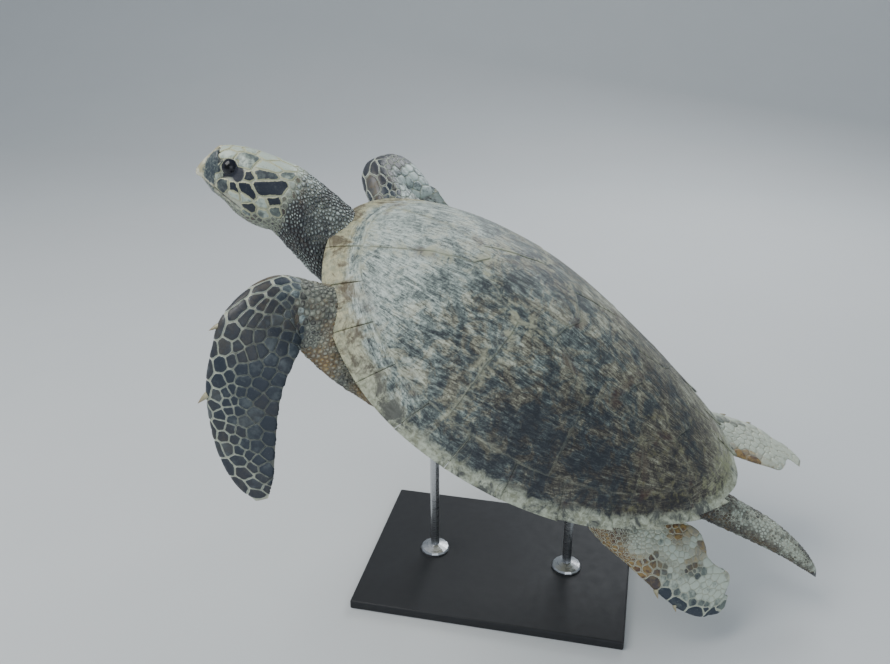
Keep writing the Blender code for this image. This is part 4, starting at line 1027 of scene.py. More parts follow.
def head_surface(s, a):
    """Head and neck: a smooth curve through the rings, with lids, a slack throat and grooves along the mouth
    and nostrils.
    """
    turn = (np.asarray(a) % (2 * math.pi)) / (2 * math.pi) * 360
    s, turn = np.broadcast_arrays(s, turn)
    place = capped(s) * LAST_ROW
    i = np.minimum(place.astype(int), LAST_ROW - 1)
    f = (place - i)[..., None]
    k = np.minimum(turn.astype(int), 359)
    g = (turn - k)[..., None]

    def ring(n):
        n = np.clip(n, 0, LAST_ROW)
        return ring_table[n, k] * (1 - g) + ring_table[n, k + 1] * g

    p0, p1, p2, p3 = ring(i - 1), ring(i), ring(i + 1), ring(i + 2)
    points = 0.5 * (2 * p1 + (p2 - p0) * f + (2 * p0 - 5 * p1 + 4 * p2 - p3) * f**2
                    + (3 * p1 - p0 - 3 * p2 + p3) * f**3)
    local = to_head(points)
    mouth = over_mouth(local)
    open_to = climb(MOUTH_CORNER, local[..., 1], 0.010) * (local[..., 1] > 0.0)
    groove = (0.0026 * np.exp(-(mouth / 0.0014) ** 2)
              - 0.0009 * np.exp(-((np.abs(mouth) - 0.0036) / 0.0020) ** 2))
    groove = groove * open_to + 0.0030 * in_nostril(local)
    local = local - groove[..., None] * unit(local * [1, 0, 0.4])
    return from_head(brow_and_lids(local))


def outward(points):
    """Outward normals of a closed-round grid of points, from differences of its neighbours."""
    around = np.roll(points, -1, 1) - np.roll(points, 1, 1)
    normals = unit(np.cross(around, np.gradient(points, axis=0)))
    inward = ((points - points.mean(1, keepdims=True)) * normals).sum() < 0
    return -normals if inward else normals


def folds(s, a, weight, spacing, depth, seed):
    """Height of skin folds that run round a limb: ridged waves bent by noise, from -depth to 0."""
    wave = s / spacing + 1.6 * value_noise(s / spacing * 0.8, np.cos(a) * 2.2 + 5, seed) + 0.5 * np.sin(2 * a)
    return -depth * weight * np.abs(np.sin(math.pi * wave)) ** 0.5


def closed_loft(name, points, poles, finish=None):
    """Rings of points joined into a tube, closed by a fan to a pole at each end, with faces outward."""
    rows, columns = points.shape[:2]
    first_ring, base = np.arange(columns), rows * columns
    caps = np.vstack([fan(base, first_ring, True), fan(base + 1, base - columns + first_ring)])
    made = mesh_piece(name, np.vstack([points.reshape(-1, 3), poles]),
                      grid_faces(rows, columns, wrap=True), caps, finish)
    bm = bmesh.new()
    bm.from_mesh(made.data)
    if bm.calc_volume(signed=True) < 0:
        bmesh.ops.reverse_faces(bm, faces=bm.faces)
    bm.to_mesh(made.data)
    bm.free()
    return made


def tube_body(name, surface, s_list, a_list, inset, fold=None):
    """Closed loft of a surface over s and a, set in by the coat's depth, with a pole at each end."""
    s, a = lattice(s_list, a_list)
    points = surface(s, a)
    shift = -inset + (fold(s, a) if fold is not None else 0.0)
    points = points + outward(points) * np.broadcast_to(shift, s.shape)[..., None]
    return closed_loft(name, points, [points[0].mean(0), points[-1].mean(0)])


def crowded(count, low, high, spots):
    """count values from low to high, closer together near each spot (place, spread, extra)."""
    x = np.linspace(low, high, 2000)
    density = 1 + sum(extra * np.exp(-((x - place) / spread) ** 2) for place, spread, extra in spots)
    total = np.concatenate([[0], np.cumsum((density[1:] + density[:-1]) / 2)])
    return np.interp(np.linspace(0, total[-1], count), total, x)


def trunk_body():
    """Flesh under the shell: rings that follow the scutes' underside, the sides and the belly."""
    phi = turns(208)
    shape = outline(phi)
    rows = []
    for ring in np.linspace(0.2, 0.82, 5):
        flat = shape * ring
        rows.append(np.column_stack([flat, dome(*flat.T) - 0.0078]))
    edge = seam_ring(phi) - 0.004
    rim = dome(*(shape * edge[:, None]).T) - 0.0075
    rows.append(np.column_stack([shape * edge[:, None], rim]))
    reach = plastron_reach(phi)
    foot = belly(*(shape * reach[:, None]).T)
    for share in np.linspace(0.06, 0.94, 15):
        factor = edge * (1 - share) + reach * share
        drop = share**0.85
        level = (rim - 0.003) * (1 - drop) + (foot + 0.003) * drop
        rows.append(np.column_stack([shape * factor[:, None], level]))
    for share in (0.985, 0.66, 0.33):
        flat = shape * (reach * share)[:, None]
        rows.append(np.column_stack([flat, belly(*flat.T) + 0.001]))
    poles = [[0, 0, dome(0.0, 0.0) - 0.008], [0, 0, belly(0.0, 0.0) + 0.001]]
    return closed_loft("trunk_flesh", np.array(rows), poles)


def neck_fold(s, a):
    """Folds over the neck, deepest where it bends, and none on the head."""
    row = s * LAST_ROW
    weight = capped((row - head_count + 1.6) / 1.5) * (1 - 0.5 * capped(np.sin(a)))
    return folds(s, a, weight, 0.042, 0.0022, 5)


def shoulder_fold(s, a):
    return folds(s, a, fall(s, 0.30, 0.12), 0.030, 0.0018, 9)


limbs = {"front_left": (paddle(FRONT_LEFT, 1), 152, 84), "front_right": (paddle(FRONT_RIGHT, -1), 152, 84),
         "hind_left": (paddle(HIND_LEFT, 1, True), 102, 76),
         "hind_right": (paddle(HIND_RIGHT, -1, True), 102, 76)}
eye_row = 6.3 / LAST_ROW
BEAK_ROW = 4.0 / LAST_ROW
head_s = crowded(222, BEAK_ROW * 0.98, 1.0, [(eye_row, 0.055, 4.5)])
head_a = crowded(217, -math.pi / 2, 1.5 * math.pi, [(0.35, 0.42, 3.0), (math.pi - 0.35, 0.42, 3.0),
                                                     (-0.6, 0.07, 2.5), (math.pi + 0.6, 0.07, 2.5)])[:-1]
flesh = [trunk_body(), tube_body("head_flesh", head_surface, head_s, head_a, COAT_DEPTH, neck_fold),
         tube_body("tail_flesh", tail_surface, np.linspace(0, 0.995, 82), turns(76), COAT_DEPTH)]
for limb_name, (surface, count, around) in limbs.items():
    flesh.append(tube_body(f"{limb_name}_flesh", surface, np.linspace(0, 0.996, count), turns(around),
                           COAT_DEPTH * 0.9, shoulder_fold))
before = np.concatenate([np.array([v.co[:] for v in o.data.vertices], np.float32) for o in flesh])
skin = flesh[0]
for part in flesh[1:]:
    weld = skin.modifiers.new("weld", "BOOLEAN")
    weld.operation = "UNION"
    weld.solver = "MANIFOLD"
    weld.object = part
bpy.context.view_layer.update()
welded = bpy.data.meshes.new_from_object(skin.evaluated_get(bpy.context.evaluated_depsgraph_get()))
skin.modifiers.clear()
skin.data = welded
for part in flesh[1:]:
    bpy.data.objects.remove(part)


def rub_joins(mesh, originals, spread, rounds):
    """Smooth the mesh near the corners that the weld made, fading out over the spread."""
    count = len(mesh.vertices)
    co = np.empty(count * 3, np.float32)
    mesh.vertices.foreach_get("co", co)
    co = co.reshape(-1, 3)
    known = {tuple(p) for p in np.round(originals, 6)}
    new = np.array([tuple(p) not in known for p in np.round(co, 6)])
    tree = KDTree(int(new.sum()))
    for i in np.flatnonzero(new):
        tree.insert(co[i], int(i))
    tree.balance()
    near = np.array([tree.find(p)[2] for p in co])
    weight = np.exp(-(near / spread) ** 2)
    weight[weight < 0.02] = 0
    edges = np.empty(len(mesh.edges) * 2, np.int32)
    mesh.edges.foreach_get("vertices", edges)
    edges = edges.reshape(-1, 2)
    degree = np.bincount(edges.ravel(), minlength=count)[:, None]
    moved = co.astype(float)
    for _ in range(rounds):
        total = np.zeros_like(moved)
        np.add.at(total, edges[:, 0], moved[edges[:, 1]])
        np.add.at(total, edges[:, 1], moved[edges[:, 0]])
        moved += 0.6 * weight[:, None] * (total / degree - moved)
    mesh.vertices.foreach_set("co", moved.astype(np.float32).ravel())
    mesh.update()


rub_joins(skin.data, before, 0.010, 60)
skin_tree = BVHTree.FromPolygons([v.co[:] for v in skin.data.vertices],
                                 [p.vertices[:] for p in skin.data.polygons])
skin.data.transform(POSE)
skin.name = "skin"
fit(skin, "soft_skin", "trunk", "neck", "head", "tail", *(
    f"{part}_{side}" for side in ("left", "right")
    for part in ("front_arm", "front_flipper", "hind_thigh", "hind_flipper")))


# ================================================================ scales
# Every scale is a low horny button on the skin: big flat plates on the flippers and head, beads on the
# neck, shoulders, thighs and tail. They are laid out on each length's unrolled surface, where X runs
# along it and Y round it, as the rounded cells that lie nearest to each scale's middle.

def unroll(surface, start, low, high, rows, columns, fold=None):
    """A length's skin as a table that is even in length round it, from angle start at column 0.

    Holds points, outward normals, length along (run) and girth for each row."""
    s = np.linspace(low, high, rows)
    a = start + np.linspace(0, 2 * math.pi, 541)
    steps = np.linalg.norm(np.diff(surface(*lattice(s, a)), axis=1), axis=-1)
    length = np.concatenate([np.zeros((rows, 1)), np.cumsum(steps, 1)], 1)
    even = np.linspace(0, 1, columns + 1)[:-1]
    angles = np.array([np.interp(even * row[-1], row, a) for row in length])
    s_grid = np.broadcast_to(s[:, None], angles.shape)
    points = surface(s_grid, angles)
    normals = outward(points)
    points = points + normals * (-COAT_DEPTH + (fold(s_grid, angles)[..., None] if fold else 0.0))
    middle = points.mean(1)
    run = np.concatenate([[0], np.cumsum(np.linalg.norm(np.diff(middle, axis=0), axis=-1))])
    return {"points": points, "normals": normals, "run": run, "girth": length[:, -1]}


def girth_at(table, x):
    return np.interp(x, table["run"], table["girth"])


def lie_on(table, x, y, height):
    """Points at X, Y on an unrolled length, raised by height."""
    rows, columns = table["points"].shape[:2]
    row = np.interp(x, table["run"], np.arange(rows))
    i = np.minimum(row.astype(int), rows - 2)
    f = (row - i)[..., None]
    column = (y / girth_at(table, x)) % 1.0 * columns
    k = column.astype(int) % columns
    n = (k + 1) % columns
    g = (column - np.floor(column))[..., None]
    found = []
    for key in ("points", "normals"):
        t = table[key]
        here, beyond = (t[row, k] * (1 - g) + t[row, n] * g for row in (i, i + 1))
        found.append(here * (1 - f) + beyond * f)
    return found[0] + found[1] * np.asarray(height)[..., None]


def cell_reach(table, places, shapes, around, corner=30.0, neighbours=14):
    """How far each scale reaches in each direction before it meets a neighbour.

    A scale's wanted outline is the ellipse v.Q.v = 1 of its shape Q. The border with a neighbour is a
    straight line, which splits the way between the two middles as their ellipses do and lies along
    both; a high power mean joins the borders and rounds the corners a little."""
    theta = turns(around)
    ways = np.stack([np.cos(theta), np.sin(theta)])
    turn = np.column_stack([np.zeros(len(places)), girth_at(table, places[:, 0])])
    others = np.vstack([places, places + turn, places - turn])
    other_shapes = np.tile(shapes, (3, 1, 1))
    radius = 1 / np.sqrt(other_shapes[:, 0, 0] * 0.5 + other_shapes[:, 1, 1] * 0.5)
    reach = np.empty((len(places), around))
    for first in range(0, len(places), 400):
        here = places[first:first + 400]
        own = shapes[first:first + 400, None]
        gap = others[None] - here[:, None]
        rank = np.hypot(gap[..., 0], gap[..., 1]) - radius
        rank[np.arange(len(here)), first + np.arange(len(here))] = np.inf
        pick = np.argpartition(rank, neighbours, axis=1)[:, :neighbours]
        step = np.take_along_axis(gap, pick[..., None], axis=1)
        theirs = other_shapes[pick]
        mine = 1 / np.sqrt(np.einsum("nki,nkij,nkj->nk", step, own + 0 * theirs, step))
        other = 1 / np.sqrt(np.einsum("nki,nkij,nkj->nk", step, theirs, step))
        share = mine / (mine + other)
        both = own * (mine**2)[..., None, None] + theirs * (other**2)[..., None, None]
        normal = np.einsum("nkij,nkj->nki", both, step)
        border = share * (normal * step).sum(-1)
        lean = np.maximum((normal @ ways) / border[..., None], 0)
        reach[first:first + 400] = 1 / np.maximum((lean**corner).sum(1) ** (1 / corner), 1e-6)
    nominal = 1 / np.sqrt(np.einsum("it,nij,jt->nt", ways, shapes, ways))
    return np.minimum(reach, nominal * 1.7), theta


def round_shapes(sizes):
    """Shapes of round scales of the given sizes across."""
    return np.eye(2)[None] * (4 / np.asarray(sizes) ** 2)[:, None, None]


def settle(table, size, low, high, seed, fixed=None, fixed_shapes=None, rounds=10, keep_out=None, apart=0.32):
    """Scale middles over part of a length: scattered by the wanted size, then eased apart.

    Each round moves every scale to the middle of its own cell. Fixed ones stay where they are."""
    rng = np.random.default_rng(seed)
    x = rng.uniform(low, high, 60000)
    girth = girth_at(table, x)
    y = (rng.uniform(0, 1, 60000) - 0.5) * girth
    density = girth / size(x, y) ** 2
    count = int((high - low) * density.mean() / 0.80)
    pick = rng.uniform(0, 1, 60000) < density / density.max()
    places = np.column_stack([x, y])[pick][:count]
    held = 0 if fixed is None else len(fixed)
    if held:
        away = places[:, None] - fixed[None]
        ratio = np.sqrt(np.einsum("nki,kij,nkj->nk", away, fixed_shapes, away))
        outside = np.linalg.norm(away, axis=-1) * (1 - 1 / np.maximum(ratio, 1e-3))
        places = places[(outside > apart * size(places[:, 0], places[:, 1])[:, None]).all(1)]
        places = np.vstack([fixed, places])

    def all_shapes():
        return np.concatenate(([] if not held else [fixed_shapes])
                              + [round_shapes(size(places[held:, 0], places[held:, 1]))])

    for _ in range(rounds):
        reach, theta = cell_reach(table, places, all_shapes(), 12)
        middle = reach**3 @ np.column_stack([np.cos(theta), np.sin(theta)])
        middle = middle / (reach**2).sum(1)[:, None] * 2 / 3
        middle[:held] = 0
        places = places + middle
        places[:, 0] = np.clip(places[:, 0], low, high)
    good = np.ones(len(places), bool) if keep_out is None else ~keep_out(places)
    points = lie_on(table, places[:, 0], places[:, 1], np.full(len(places), 0.0006))
    for n, point in enumerate(points):
        spot, normal = skin_tree.find_nearest(Vector(point))[:2]
        good[n] &= (Vector(point) - spot).dot(normal) > -0.0012
    reach, theta = cell_reach(table, places, all_shapes(), 36)
    sizes = reach.mean(1) * 2
    return places[good], sizes[good], reach[good]


# rings of a scale from its buried foot to its crown: share of its reach, share of its thickness
PLATE_RINGS = ((1.0, -0.7), (0.985, 0.40), (0.94, 0.82), (0.66, 1.0), (0.33, 1.0))
BEAD_RINGS = ((1.0, -0.7), (0.90, 0.35), (0.58, 0.86))


def scale_coat(name, table, cells, thick, gap, rings, around, finish, lean):
    """All scales of one length as one joined mesh: rings of points that shrink and rise to a crown.

    cells holds each scale's place, reach, tone, warmth and how faint its border is. lean lifts each
    scale's far side, as it laps a little over the next one along X."""
    places, reach, tone, warm, faint = cells
    theta = turns(around)
    wide = np.linspace(0, 2 * math.pi, reach.shape[1] + 1)
    full = np.hstack([reach, reach[:, :1]])
    reach = np.array([np.interp(theta, wide, row) for row in full])
    reach = np.maximum(reach - gap / 2, reach * 0.35)
    thick = np.broadcast_to(thick, len(places))
    share = np.array([r for r, _ in rings])[None, :, None]
    rise = np.array([h for _, h in rings])[None, :, None]
    x = places[:, 0, None, None] + share * reach[:, None] * np.cos(theta)
    y = places[:, 1, None, None] + share * reach[:, None] * np.sin(theta)
    mean = reach.mean(1)[:, None, None]
    height = thick[:, None, None] * (rise + lean * capped(rise) * (x - places[:, 0, None, None]) / mean)
    shell = lie_on(table, x, y, height)
    count, levels = len(places), len(rings)
    px, py = places[:, 0], places[:, 1]
    top = lie_on(table, px, py, thick)
    foot = lie_on(table, px, py, thick * rings[0][1])
    points = np.concatenate([shell.reshape(count, -1, 3), top[:, None], foot[:, None]], 1)
    each = levels * around + 2
    base = (np.arange(count) * each)[:, None, None]
    quads = (grid_faces(levels, around, wrap=True)[None] + base).reshape(-1, 4)
    first_ring = np.arange(around)
    caps = np.vstack([fan(each - 2, (levels - 1) * around + first_ring), fan(each - 1, first_ring, True)])
    tris = (caps[None] + base).reshape(-1, 3)
    a, b, c = table["points"][2, 0], table["points"][3, 0], table["points"][2, 1]
    if np.cross(b - a, c - a) @ table["normals"][2, 0] > 0:
        quads, tris = quads[:, ::-1], tris[:, ::-1]
    made = mesh_piece(name, posed(points.reshape(-1, 3)), quads, tris, finish)
    rim = np.concatenate([np.broadcast_to(share, (count, levels, around)).reshape(count, -1),
                          np.zeros((count, 1)), np.ones((count, 1))], 1)
    border = np.concatenate([((1 - share) * reach[:, None]).reshape(count, -1), mean[:, 0],
                             np.zeros((count, 1))], 1)
    give(made, rim=rim.ravel(), border=border.ravel(), faint=np.repeat(faint, each),
         tone=np.repeat(tone, each), warm=np.repeat(warm, each))
    patch = 0.0015
    bake = []
    for root, way in ((0.94 * px / table["run"][-1], np.cos(theta)),
                      (0.94 * ((py / girth_at(table, px)) % 1.0), np.sin(theta))):
        root = 0.03 + root[:, None]
        spread = (root[:, None] + patch * share * way).reshape(count, -1)
        bake.append(np.concatenate([spread, root, root], 1).ravel())
    corner = np.empty(len(made.data.loops), np.int32)
    made.data.loops.foreach_get("vertex_index", corner)
    layer = made.data.uv_layers.new(name="OFBake")
    layer.data.foreach_set("uv", np.column_stack(bake)[corner].astype(np.float32).ravel())
    fit(made, "scaled_skin")


def scale_finish(name, dark, mid, pale, seam, margin=0.0010, roughness=0.42, top_highlight=0.0, rough=1.0):
    """Horny scale: dark with a paler worn border, or all pale, by its own tone; speckled and pitted.

    margin is the border's width, and the top highlight is how far each scale's top is painted towards the
    pale colour as a highlight."""
    made, tree, shader = finish_material(name, roughness, Coat_Weight=0.12, Coat_Roughness=0.3)
    place = object_place(tree)
    tone, rim, warm, border, faint = (attribute(tree, key)
                                      for key in ("tone", "rim", "warm", "border", "faint"))
    cloud = noise(place, 34.0, 4.0, 0.6)
    mottle = noise(place, 110.0, 5.0, 0.65)
    speck = noise(place, 520.0, 4.0, 0.7)
    drift = plus(swing(mottle, 0.14), swing(cloud, 0.12))
    shade = plus(tone, drift)
    colour = blend(ramp(shade, 0.15, 0.52), pale, mid)
    colour = blend(ramp(shade, 0.48, 0.85), colour, dark)
    colour = blend(ramp(mottle, 0.54, 0.72, 0.0, 0.30), colour, mid)
    ochre = blend(ramp(mottle, 0.40, 0.60), (0.13, 0.065, 0.035), (0.40, 0.26, 0.08))
    colour = blend(times(warm, 0.9), colour, ochre)
    # Painted highlight: the middle of each scale's top goes towards the pale colour, less so on dark scales.
    top = ramp(plus(rim, swing(mottle, 0.3)), 0.15, 0.75, top_highlight, 0.0)
    top = times(top, ramp(shade, 0.5, 1.0, 1.0, 0.25))
    colour = blend(top, colour, pale)
    edge = plus(border, swing(mottle, 0.45 * margin))
    edge = times(ramp(edge, margin * 0.7, margin * 1.2, 0.92, 0.0), maths("SUBTRACT", 1.0, faint))
    colour = blend(edge, colour, seam)
    colour = blend(ramp(speck, 0.60, 0.74, 0.0, 0.25), colour, seam)
    low = bump(mottle, 0.0007 * rough, 0.6)
    feed(tree, shader, Base_Color=colour,
         Roughness=ramp(mottle, 0.3, 0.7, roughness - 0.08, roughness + 0.14),
         Normal=bump(speck, 0.0002, 0.7, low))
    return made


flipper_horn = scale_finish("flipper_scale", (0.020, 0.030, 0.046), (0.085, 0.105, 0.115), (0.46, 0.55, 0.52),
                            (0.52, 0.56, 0.48), margin=0.0009)
# The arm beads carry a painted highlight on their tops.
arm_horn = scale_finish("arm_bead", (0.045, 0.045, 0.045), (0.15, 0.155, 0.13), (0.46, 0.48, 0.38),
                        (0.10, 0.095, 0.08), margin=0.0008, top_highlight=0.55, rough=1.5)
tables = {limb_name: unroll(limb[0], 0.0, 0.0, 0.985, 240 if "front" in limb_name else 150, 120,
                            shoulder_fold) for limb_name, limb in limbs.items()}


def front_marks(x, y):
    """Arm beads grey brown with a little ochre, blade plates near black."""
    blade = climb(x, 0.16, 0.07)
    ochre = capped(rough_noise(x * 25, y * 25, 3) * 3 - 1.2) * (0.75 * (1 - blade) + 0.10)
    return 0.58 + 0.34 * blade + 0.5 * (rough_noise(x * 50, y * 50, 33) - 0.5), ochre


def far_marks(x, y):
    """The right front limb: dark plates along its front edge, and a paler upper side behind them."""
    tone, warm = front_marks(x + 0.055, y)
    paler_upper_side = climb(np.abs(y), 0.046, 0.012) * climb(x, 0.09, 0.04)
    return tone * (1 - 0.76 * paler_upper_side), warm * (1 - 0.5 * paler_upper_side)


def hind_left_marks(x, y):
    """Left hind limb: ochre and maroon in two fields at its root, pale beyond, with dark front plates."""
    patch = rough_noise(x * 28, y * 28, 14)
    front = np.exp(-(y / 0.024) ** 2) * climb(x, 0.154, 0.012)
    fore = np.exp(-(y / 0.034) ** 2) * fall(x, 0.175, 0.02)
    hind = np.exp(-((np.abs(y) - 0.105) / 0.042) ** 2) * capped(1.8 - np.abs(x - 0.162) / 0.036)
    tone = 0.10 + 0.45 * capped((patch - 0.58) * 6) + 0.95 * front
    tone = tone + 0.75 * (fore + hind) * capped((patch - 0.42) * 5) + 0.5 * fall(x, 0.10, 0.05)
    return capped(tone), capped((fore + hind) * capped((patch - 0.30) * 6) * 1.1)


def hind_right_marks(x, y):
    """Right hind limb: pale yellow green with brown streaks and ochre along its rear edge."""
    patch = rough_noise(x * 22, y * 40, 19)
    rear = climb(np.abs(y), 0.070, 0.02) * capped(1.8 - np.abs(x - 0.200) / 0.055)
    tone = 0.10 + 0.45 * capped((patch - 0.56) * 6) + 0.35 * fall(x, 0.18, 0.08)
    tone = tone + 0.5 * rear * capped((patch - 0.5) * 6)
    return tone, capped(0.12 + 0.75 * rear * capped((patch - 0.36) * 6)) * climb(x, 0.05, 0.1)


def lowness(length, x, y):
    """0 along the top of the head or tail, 1 along its underside."""
    return np.abs((y / girth_at(tables[length], x) + 0.5) % 1.0 - 0.5) * 2


def tail_marks(x, y):
    """Tail: grey with pale spots above, brown mottle below, olive brown at its root."""
    low = lowness("tail", x, y)
    patch = rough_noise(x * 60, y * 60, 23)
    root = fall(x, 0.17, 0.06)
    tone = 0.30 + 0.52 * capped((low - 0.28) * 3) + 1.25 * (patch - 0.5) + 0.42 * root
    return tone, (0.45 * capped((low - 0.3) * 3) + 0.25 * root) * capped((patch - 0.42) * 5)


def head_marks(x, y):
    """Crown pale and underside darker, painted light from above; jaw grey brown with green, neck dark with
    pale beads.
    """
    low = lowness("head", x, y)
    patch = rough_noise(x * 40, y * 40, 27)
    # Painted light: head scales run from pale on top, where the light falls, to darker underneath.
    head_tone = 0.06 + 0.62 * capped((low - 0.36) * 4) + 0.7 * (patch - 0.5)
    neck = climb(x, 0.115, 0.035)
    neck_tone = 0.66 + 0.30 * np.exp(-(((low - 0.45) / 0.22) ** 2)) + 1.1 * (patch - 0.5)
    neck_tone = neck_tone - 0.3 * climb(x, 0.22, 0.08)
    return head_tone * (1 - neck) + neck_tone * neck, 0.15 * capped((patch - 0.55) * 6) + 0 * x


marks = {"front_left": front_marks, "front_right": far_marks, "hind_left": hind_left_marks,
         "hind_right": hind_right_marks, "tail": tail_marks, "head": head_marks}


def scale_marks(limb_name, places, seed, own=0.12):
    """Tone and warmth of each scale: the markings where it stands, and a little of its own."""
    tone, warm = marks[limb_name](places[:, 0], places[:, 1])
    own = np.random.default_rng(seed).uniform(-own, own, len(places))
    return capped(tone + own), capped(warm)


def front_size(x, y):
    """Front limb scales: beads at the shoulder, plates on the blade, largest along its front edge."""
    grow = climb(x, 0.150, 0.075)
    blade = 0.0205 - 0.006 * np.exp(-(((np.abs(y) - 0.040) / 0.011) ** 2))
    uneven = 0.85 + 0.3 * value_noise(x * 45, y * 45, 6)
    return (0.0078 * (1 - grow) + blade * grow) * uneven * (1 - 0.12 * climb(x, 0.38, 0.10))


def edge_rows(table, seed, start, size, reach_in, wide=1.0):
    """Plates on the front edge, wrapped round it, and pairs that meet along the thin rear edge."""
    rng = np.random.default_rng(seed)
    length = rng.uniform(0.90, 1.22, 40) * size
    x = start + np.cumsum(length) - length / 2
    good = x + length * 0.45 < table["run"][-1]
    x, length = x[good], length[good]
    rear_x = start + 0.01 + np.cumsum(length) * 0.93 - length / 2
    rear_x = rear_x[rear_x < table["run"][-1] - 0.008]
    rear_y = girth_at(table, rear_x) / 2 - reach_in * rng.uniform(0.85, 1.15, len(rear_x))
    tip_x = np.full(2, table["run"][-1] - 0.003)
    tip_y = girth_at(table, tip_x) * [0.25, -0.25]
    places = np.column_stack([np.concatenate([x, rear_x, rear_x, tip_x]),
                              np.concatenate([rng.uniform(-0.002, 0.002, len(x)), rear_y, -rear_y, tip_y])])
    rear = np.ones(2 * len(rear_x))
    shapes = np.zeros((len(places), 2, 2))
    shapes[:, 0, 0] = (2 / np.concatenate([length, rear * (size * 0.86), [0.013, 0.013]])) ** 2
    shapes[:, 1, 1] = (2 / np.concatenate([np.full(len(x), size * wide), rear * (reach_in * 2),
                                           [0.016, 0.016]])) ** 2
    return places, shapes


for limb_name, number, lead in (("front_left", 3, 0.0), ("front_right", 4, 0.050)):
    table = tables[limb_name]
    places, sizes, reach = settle(
        table, lambda x, y: front_size(x + lead, y), 0.045, table["run"][-1] - 0.010, number,
        *edge_rows(table, number, 0.165 - lead, 0.0265, 0.0105), rounds=6)
    tone, warm = scale_marks(limb_name, places, 31, 0.2)
    inner = climb(np.abs(places[:, 1]), 0.045 if lead else 0.018, 0.05)
    faint = np.clip(inner * (2.0 if lead else 1.0), 0, 0.75)
    big = sizes > 0.0125
    for part, chosen, rings, around, gap, finish in (("blade", big, PLATE_RINGS, 26, 0.0009, flipper_horn),
                                                     ("shoulder", ~big, BEAD_RINGS, 9, 0.0008, arm_horn)):
        cells = [v[chosen] for v in (places, reach, tone, warm, faint)]
        scale_coat(f"{part}_scales_{limb_name}", table, cells, np.clip(sizes[chosen] * 0.10, 0.0011, 0.0016),
                   gap, rings, around, finish, lean=0.12)


def hind_size(x, y):
    """Hind limb scales: beads on the thigh, plates on the paddle, larger along its front edge."""
    grow = climb(x, 0.08, 0.07)
    uneven = 0.62 + 0.76 * value_noise(x * 70, y * 70, 8)
    return (0.0070 * (1 - grow) + 0.0125 * grow) * uneven


hind_horn = scale_finish("hind_scale", (0.024, 0.036, 0.054), (0.16, 0.19, 0.17), (0.55, 0.61, 0.52),
                         (0.60, 0.63, 0.52), margin=0.0010, rough=1.3)
for limb_name in ("hind_left", "hind_right"):
    table = tables[limb_name]
    places, sizes, reach = settle(table, hind_size, 0.040, table["run"][-1] - 0.008, 7,
                                  *edge_rows(table, 9, 0.150, 0.0270, 0.0080, 1.45))
    tone, warm = scale_marks(limb_name, places, 37, 0.14)
    faint = np.clip((np.abs(places[:, 1]) - 0.014) / 0.02, 0, 0.80) * climb(places[:, 0], 0.14, 0.04)
    big = sizes > 0.0095
    for part, chosen, rings, around, gap in (("paddle", big, PLATE_RINGS, 24, 0.0009),
                                             ("thigh", ~big, BEAD_RINGS, 9, 0.0008)):
        cells = [v[chosen] for v in (places, reach, tone, warm, faint)]
        scale_coat(f"{part}_scales_{limb_name}", table, cells, np.clip(sizes[chosen] * 0.10, 0.0007, 0.0012),
                   gap, rings, around, hind_horn, lean=0.15)


# The tail beads carry a faint painted highlight on their tops.
tail_horn = scale_finish("tail_scale", (0.036, 0.034, 0.038), (0.15, 0.15, 0.12), (0.47, 0.52, 0.44),
                         (0.20, 0.20, 0.165), margin=0.0005, top_highlight=0.25, rough=1.8)
tables["tail"] = unroll(tail_surface, math.pi / 2, 0.0, 0.99, 200, 120)
table = tables["tail"]
places, sizes, reach = settle(table, lambda x, y: 0.0074 - 0.0022 * climb(x, 0.1, 0.2), 0.02,
                              table["run"][-1] - 0.001, 8)
tone, warm = scale_marks("tail", places, 41, 0.26)
scale_coat("tail_scales", table, (places, reach, tone, warm, np.zeros(len(places))), 0.0011, 0.0007,
           BEAD_RINGS, 11, tail_horn, lean=0.25)


# ================================================================ head scales
# Large shields on the head, dark with wide cream margins on the cheeks and painted pale on the crown as
# light from above, in the same order on both sides; small scales on the jaw and throat; beads over the neck.

tables["head"] = unroll(head_surface, math.pi / 2, BEAK_ROW, 1.0, 330, 260, neck_fold)
table = tables["head"]
table_in_head = to_head(table["points"])

# shields of one side in mm: distance behind the beak tip, height, length, breadth, tilt up towards
# the back in degrees, tone
CHEEK_SHIELDS = (
    (95.3, 25.7, 18, 15, 7, 0.92),  # behind the eye
    (86.5, 44.0, 36, 29, -8, 0.40),  # over it
    (119.5, 31.0, 30, 17, 4, 0.58),  # over the temple, and paler above
    (122.0, 41.5, 40, 16, -8, 0.10),
    (154.0, 35.0, 21, 15, 0, 0.45),
    (132.6, 15.6, 50, 25, 7, 1.00),  # the great temporal shield
    (98.2, 4.9, 33, 19, -32, 1.00),  # below the eye, from the back to the beak
    (76.3, 2.3, 20, 14, -33, 0.95),
    (56.5, 1.2, 21, 20, -10, 0.72),
    (104.6, -20.9, 24, 16, -17, 0.98),  # the angle of the jaw
    (140.0, -3.0, 21, 14, 8, 0.80),
    (96.0, -9.3, 16, 12, -35, 0.12),
    (79.0, -8.5, 18, 10, -20, 0.08),
    (77.0, -24.5, 25, 14, -14, 0.62),  # the lower jaw
    (97.0, -34.0, 18, 14, -14, 0.45),
    (123.5, -9.5, 18, 17, 0, 0.20),
    (126.0, -26.5, 24, 16, -18, 0.32),
    (147.0, -19.5, 22, 18, -10, 0.55),
    (47.4, 23.0, 10, 21, 0, 0.62),  # between the beak and the eye
    (58.5, 45.0, 21, 17, 0, 0.12),
)
# crown shields, where height gives way to the distance from the midline; their pale tones are painted light
# from above
CROWN_SHIELDS = (
    (46.5, 6.5, 14, 13, 0, 0.10),
    (141.0, 13.0, 30, 24, 0, 0.06),
    (66.0, 8.0, 18, 15, 0, 0.10),
)
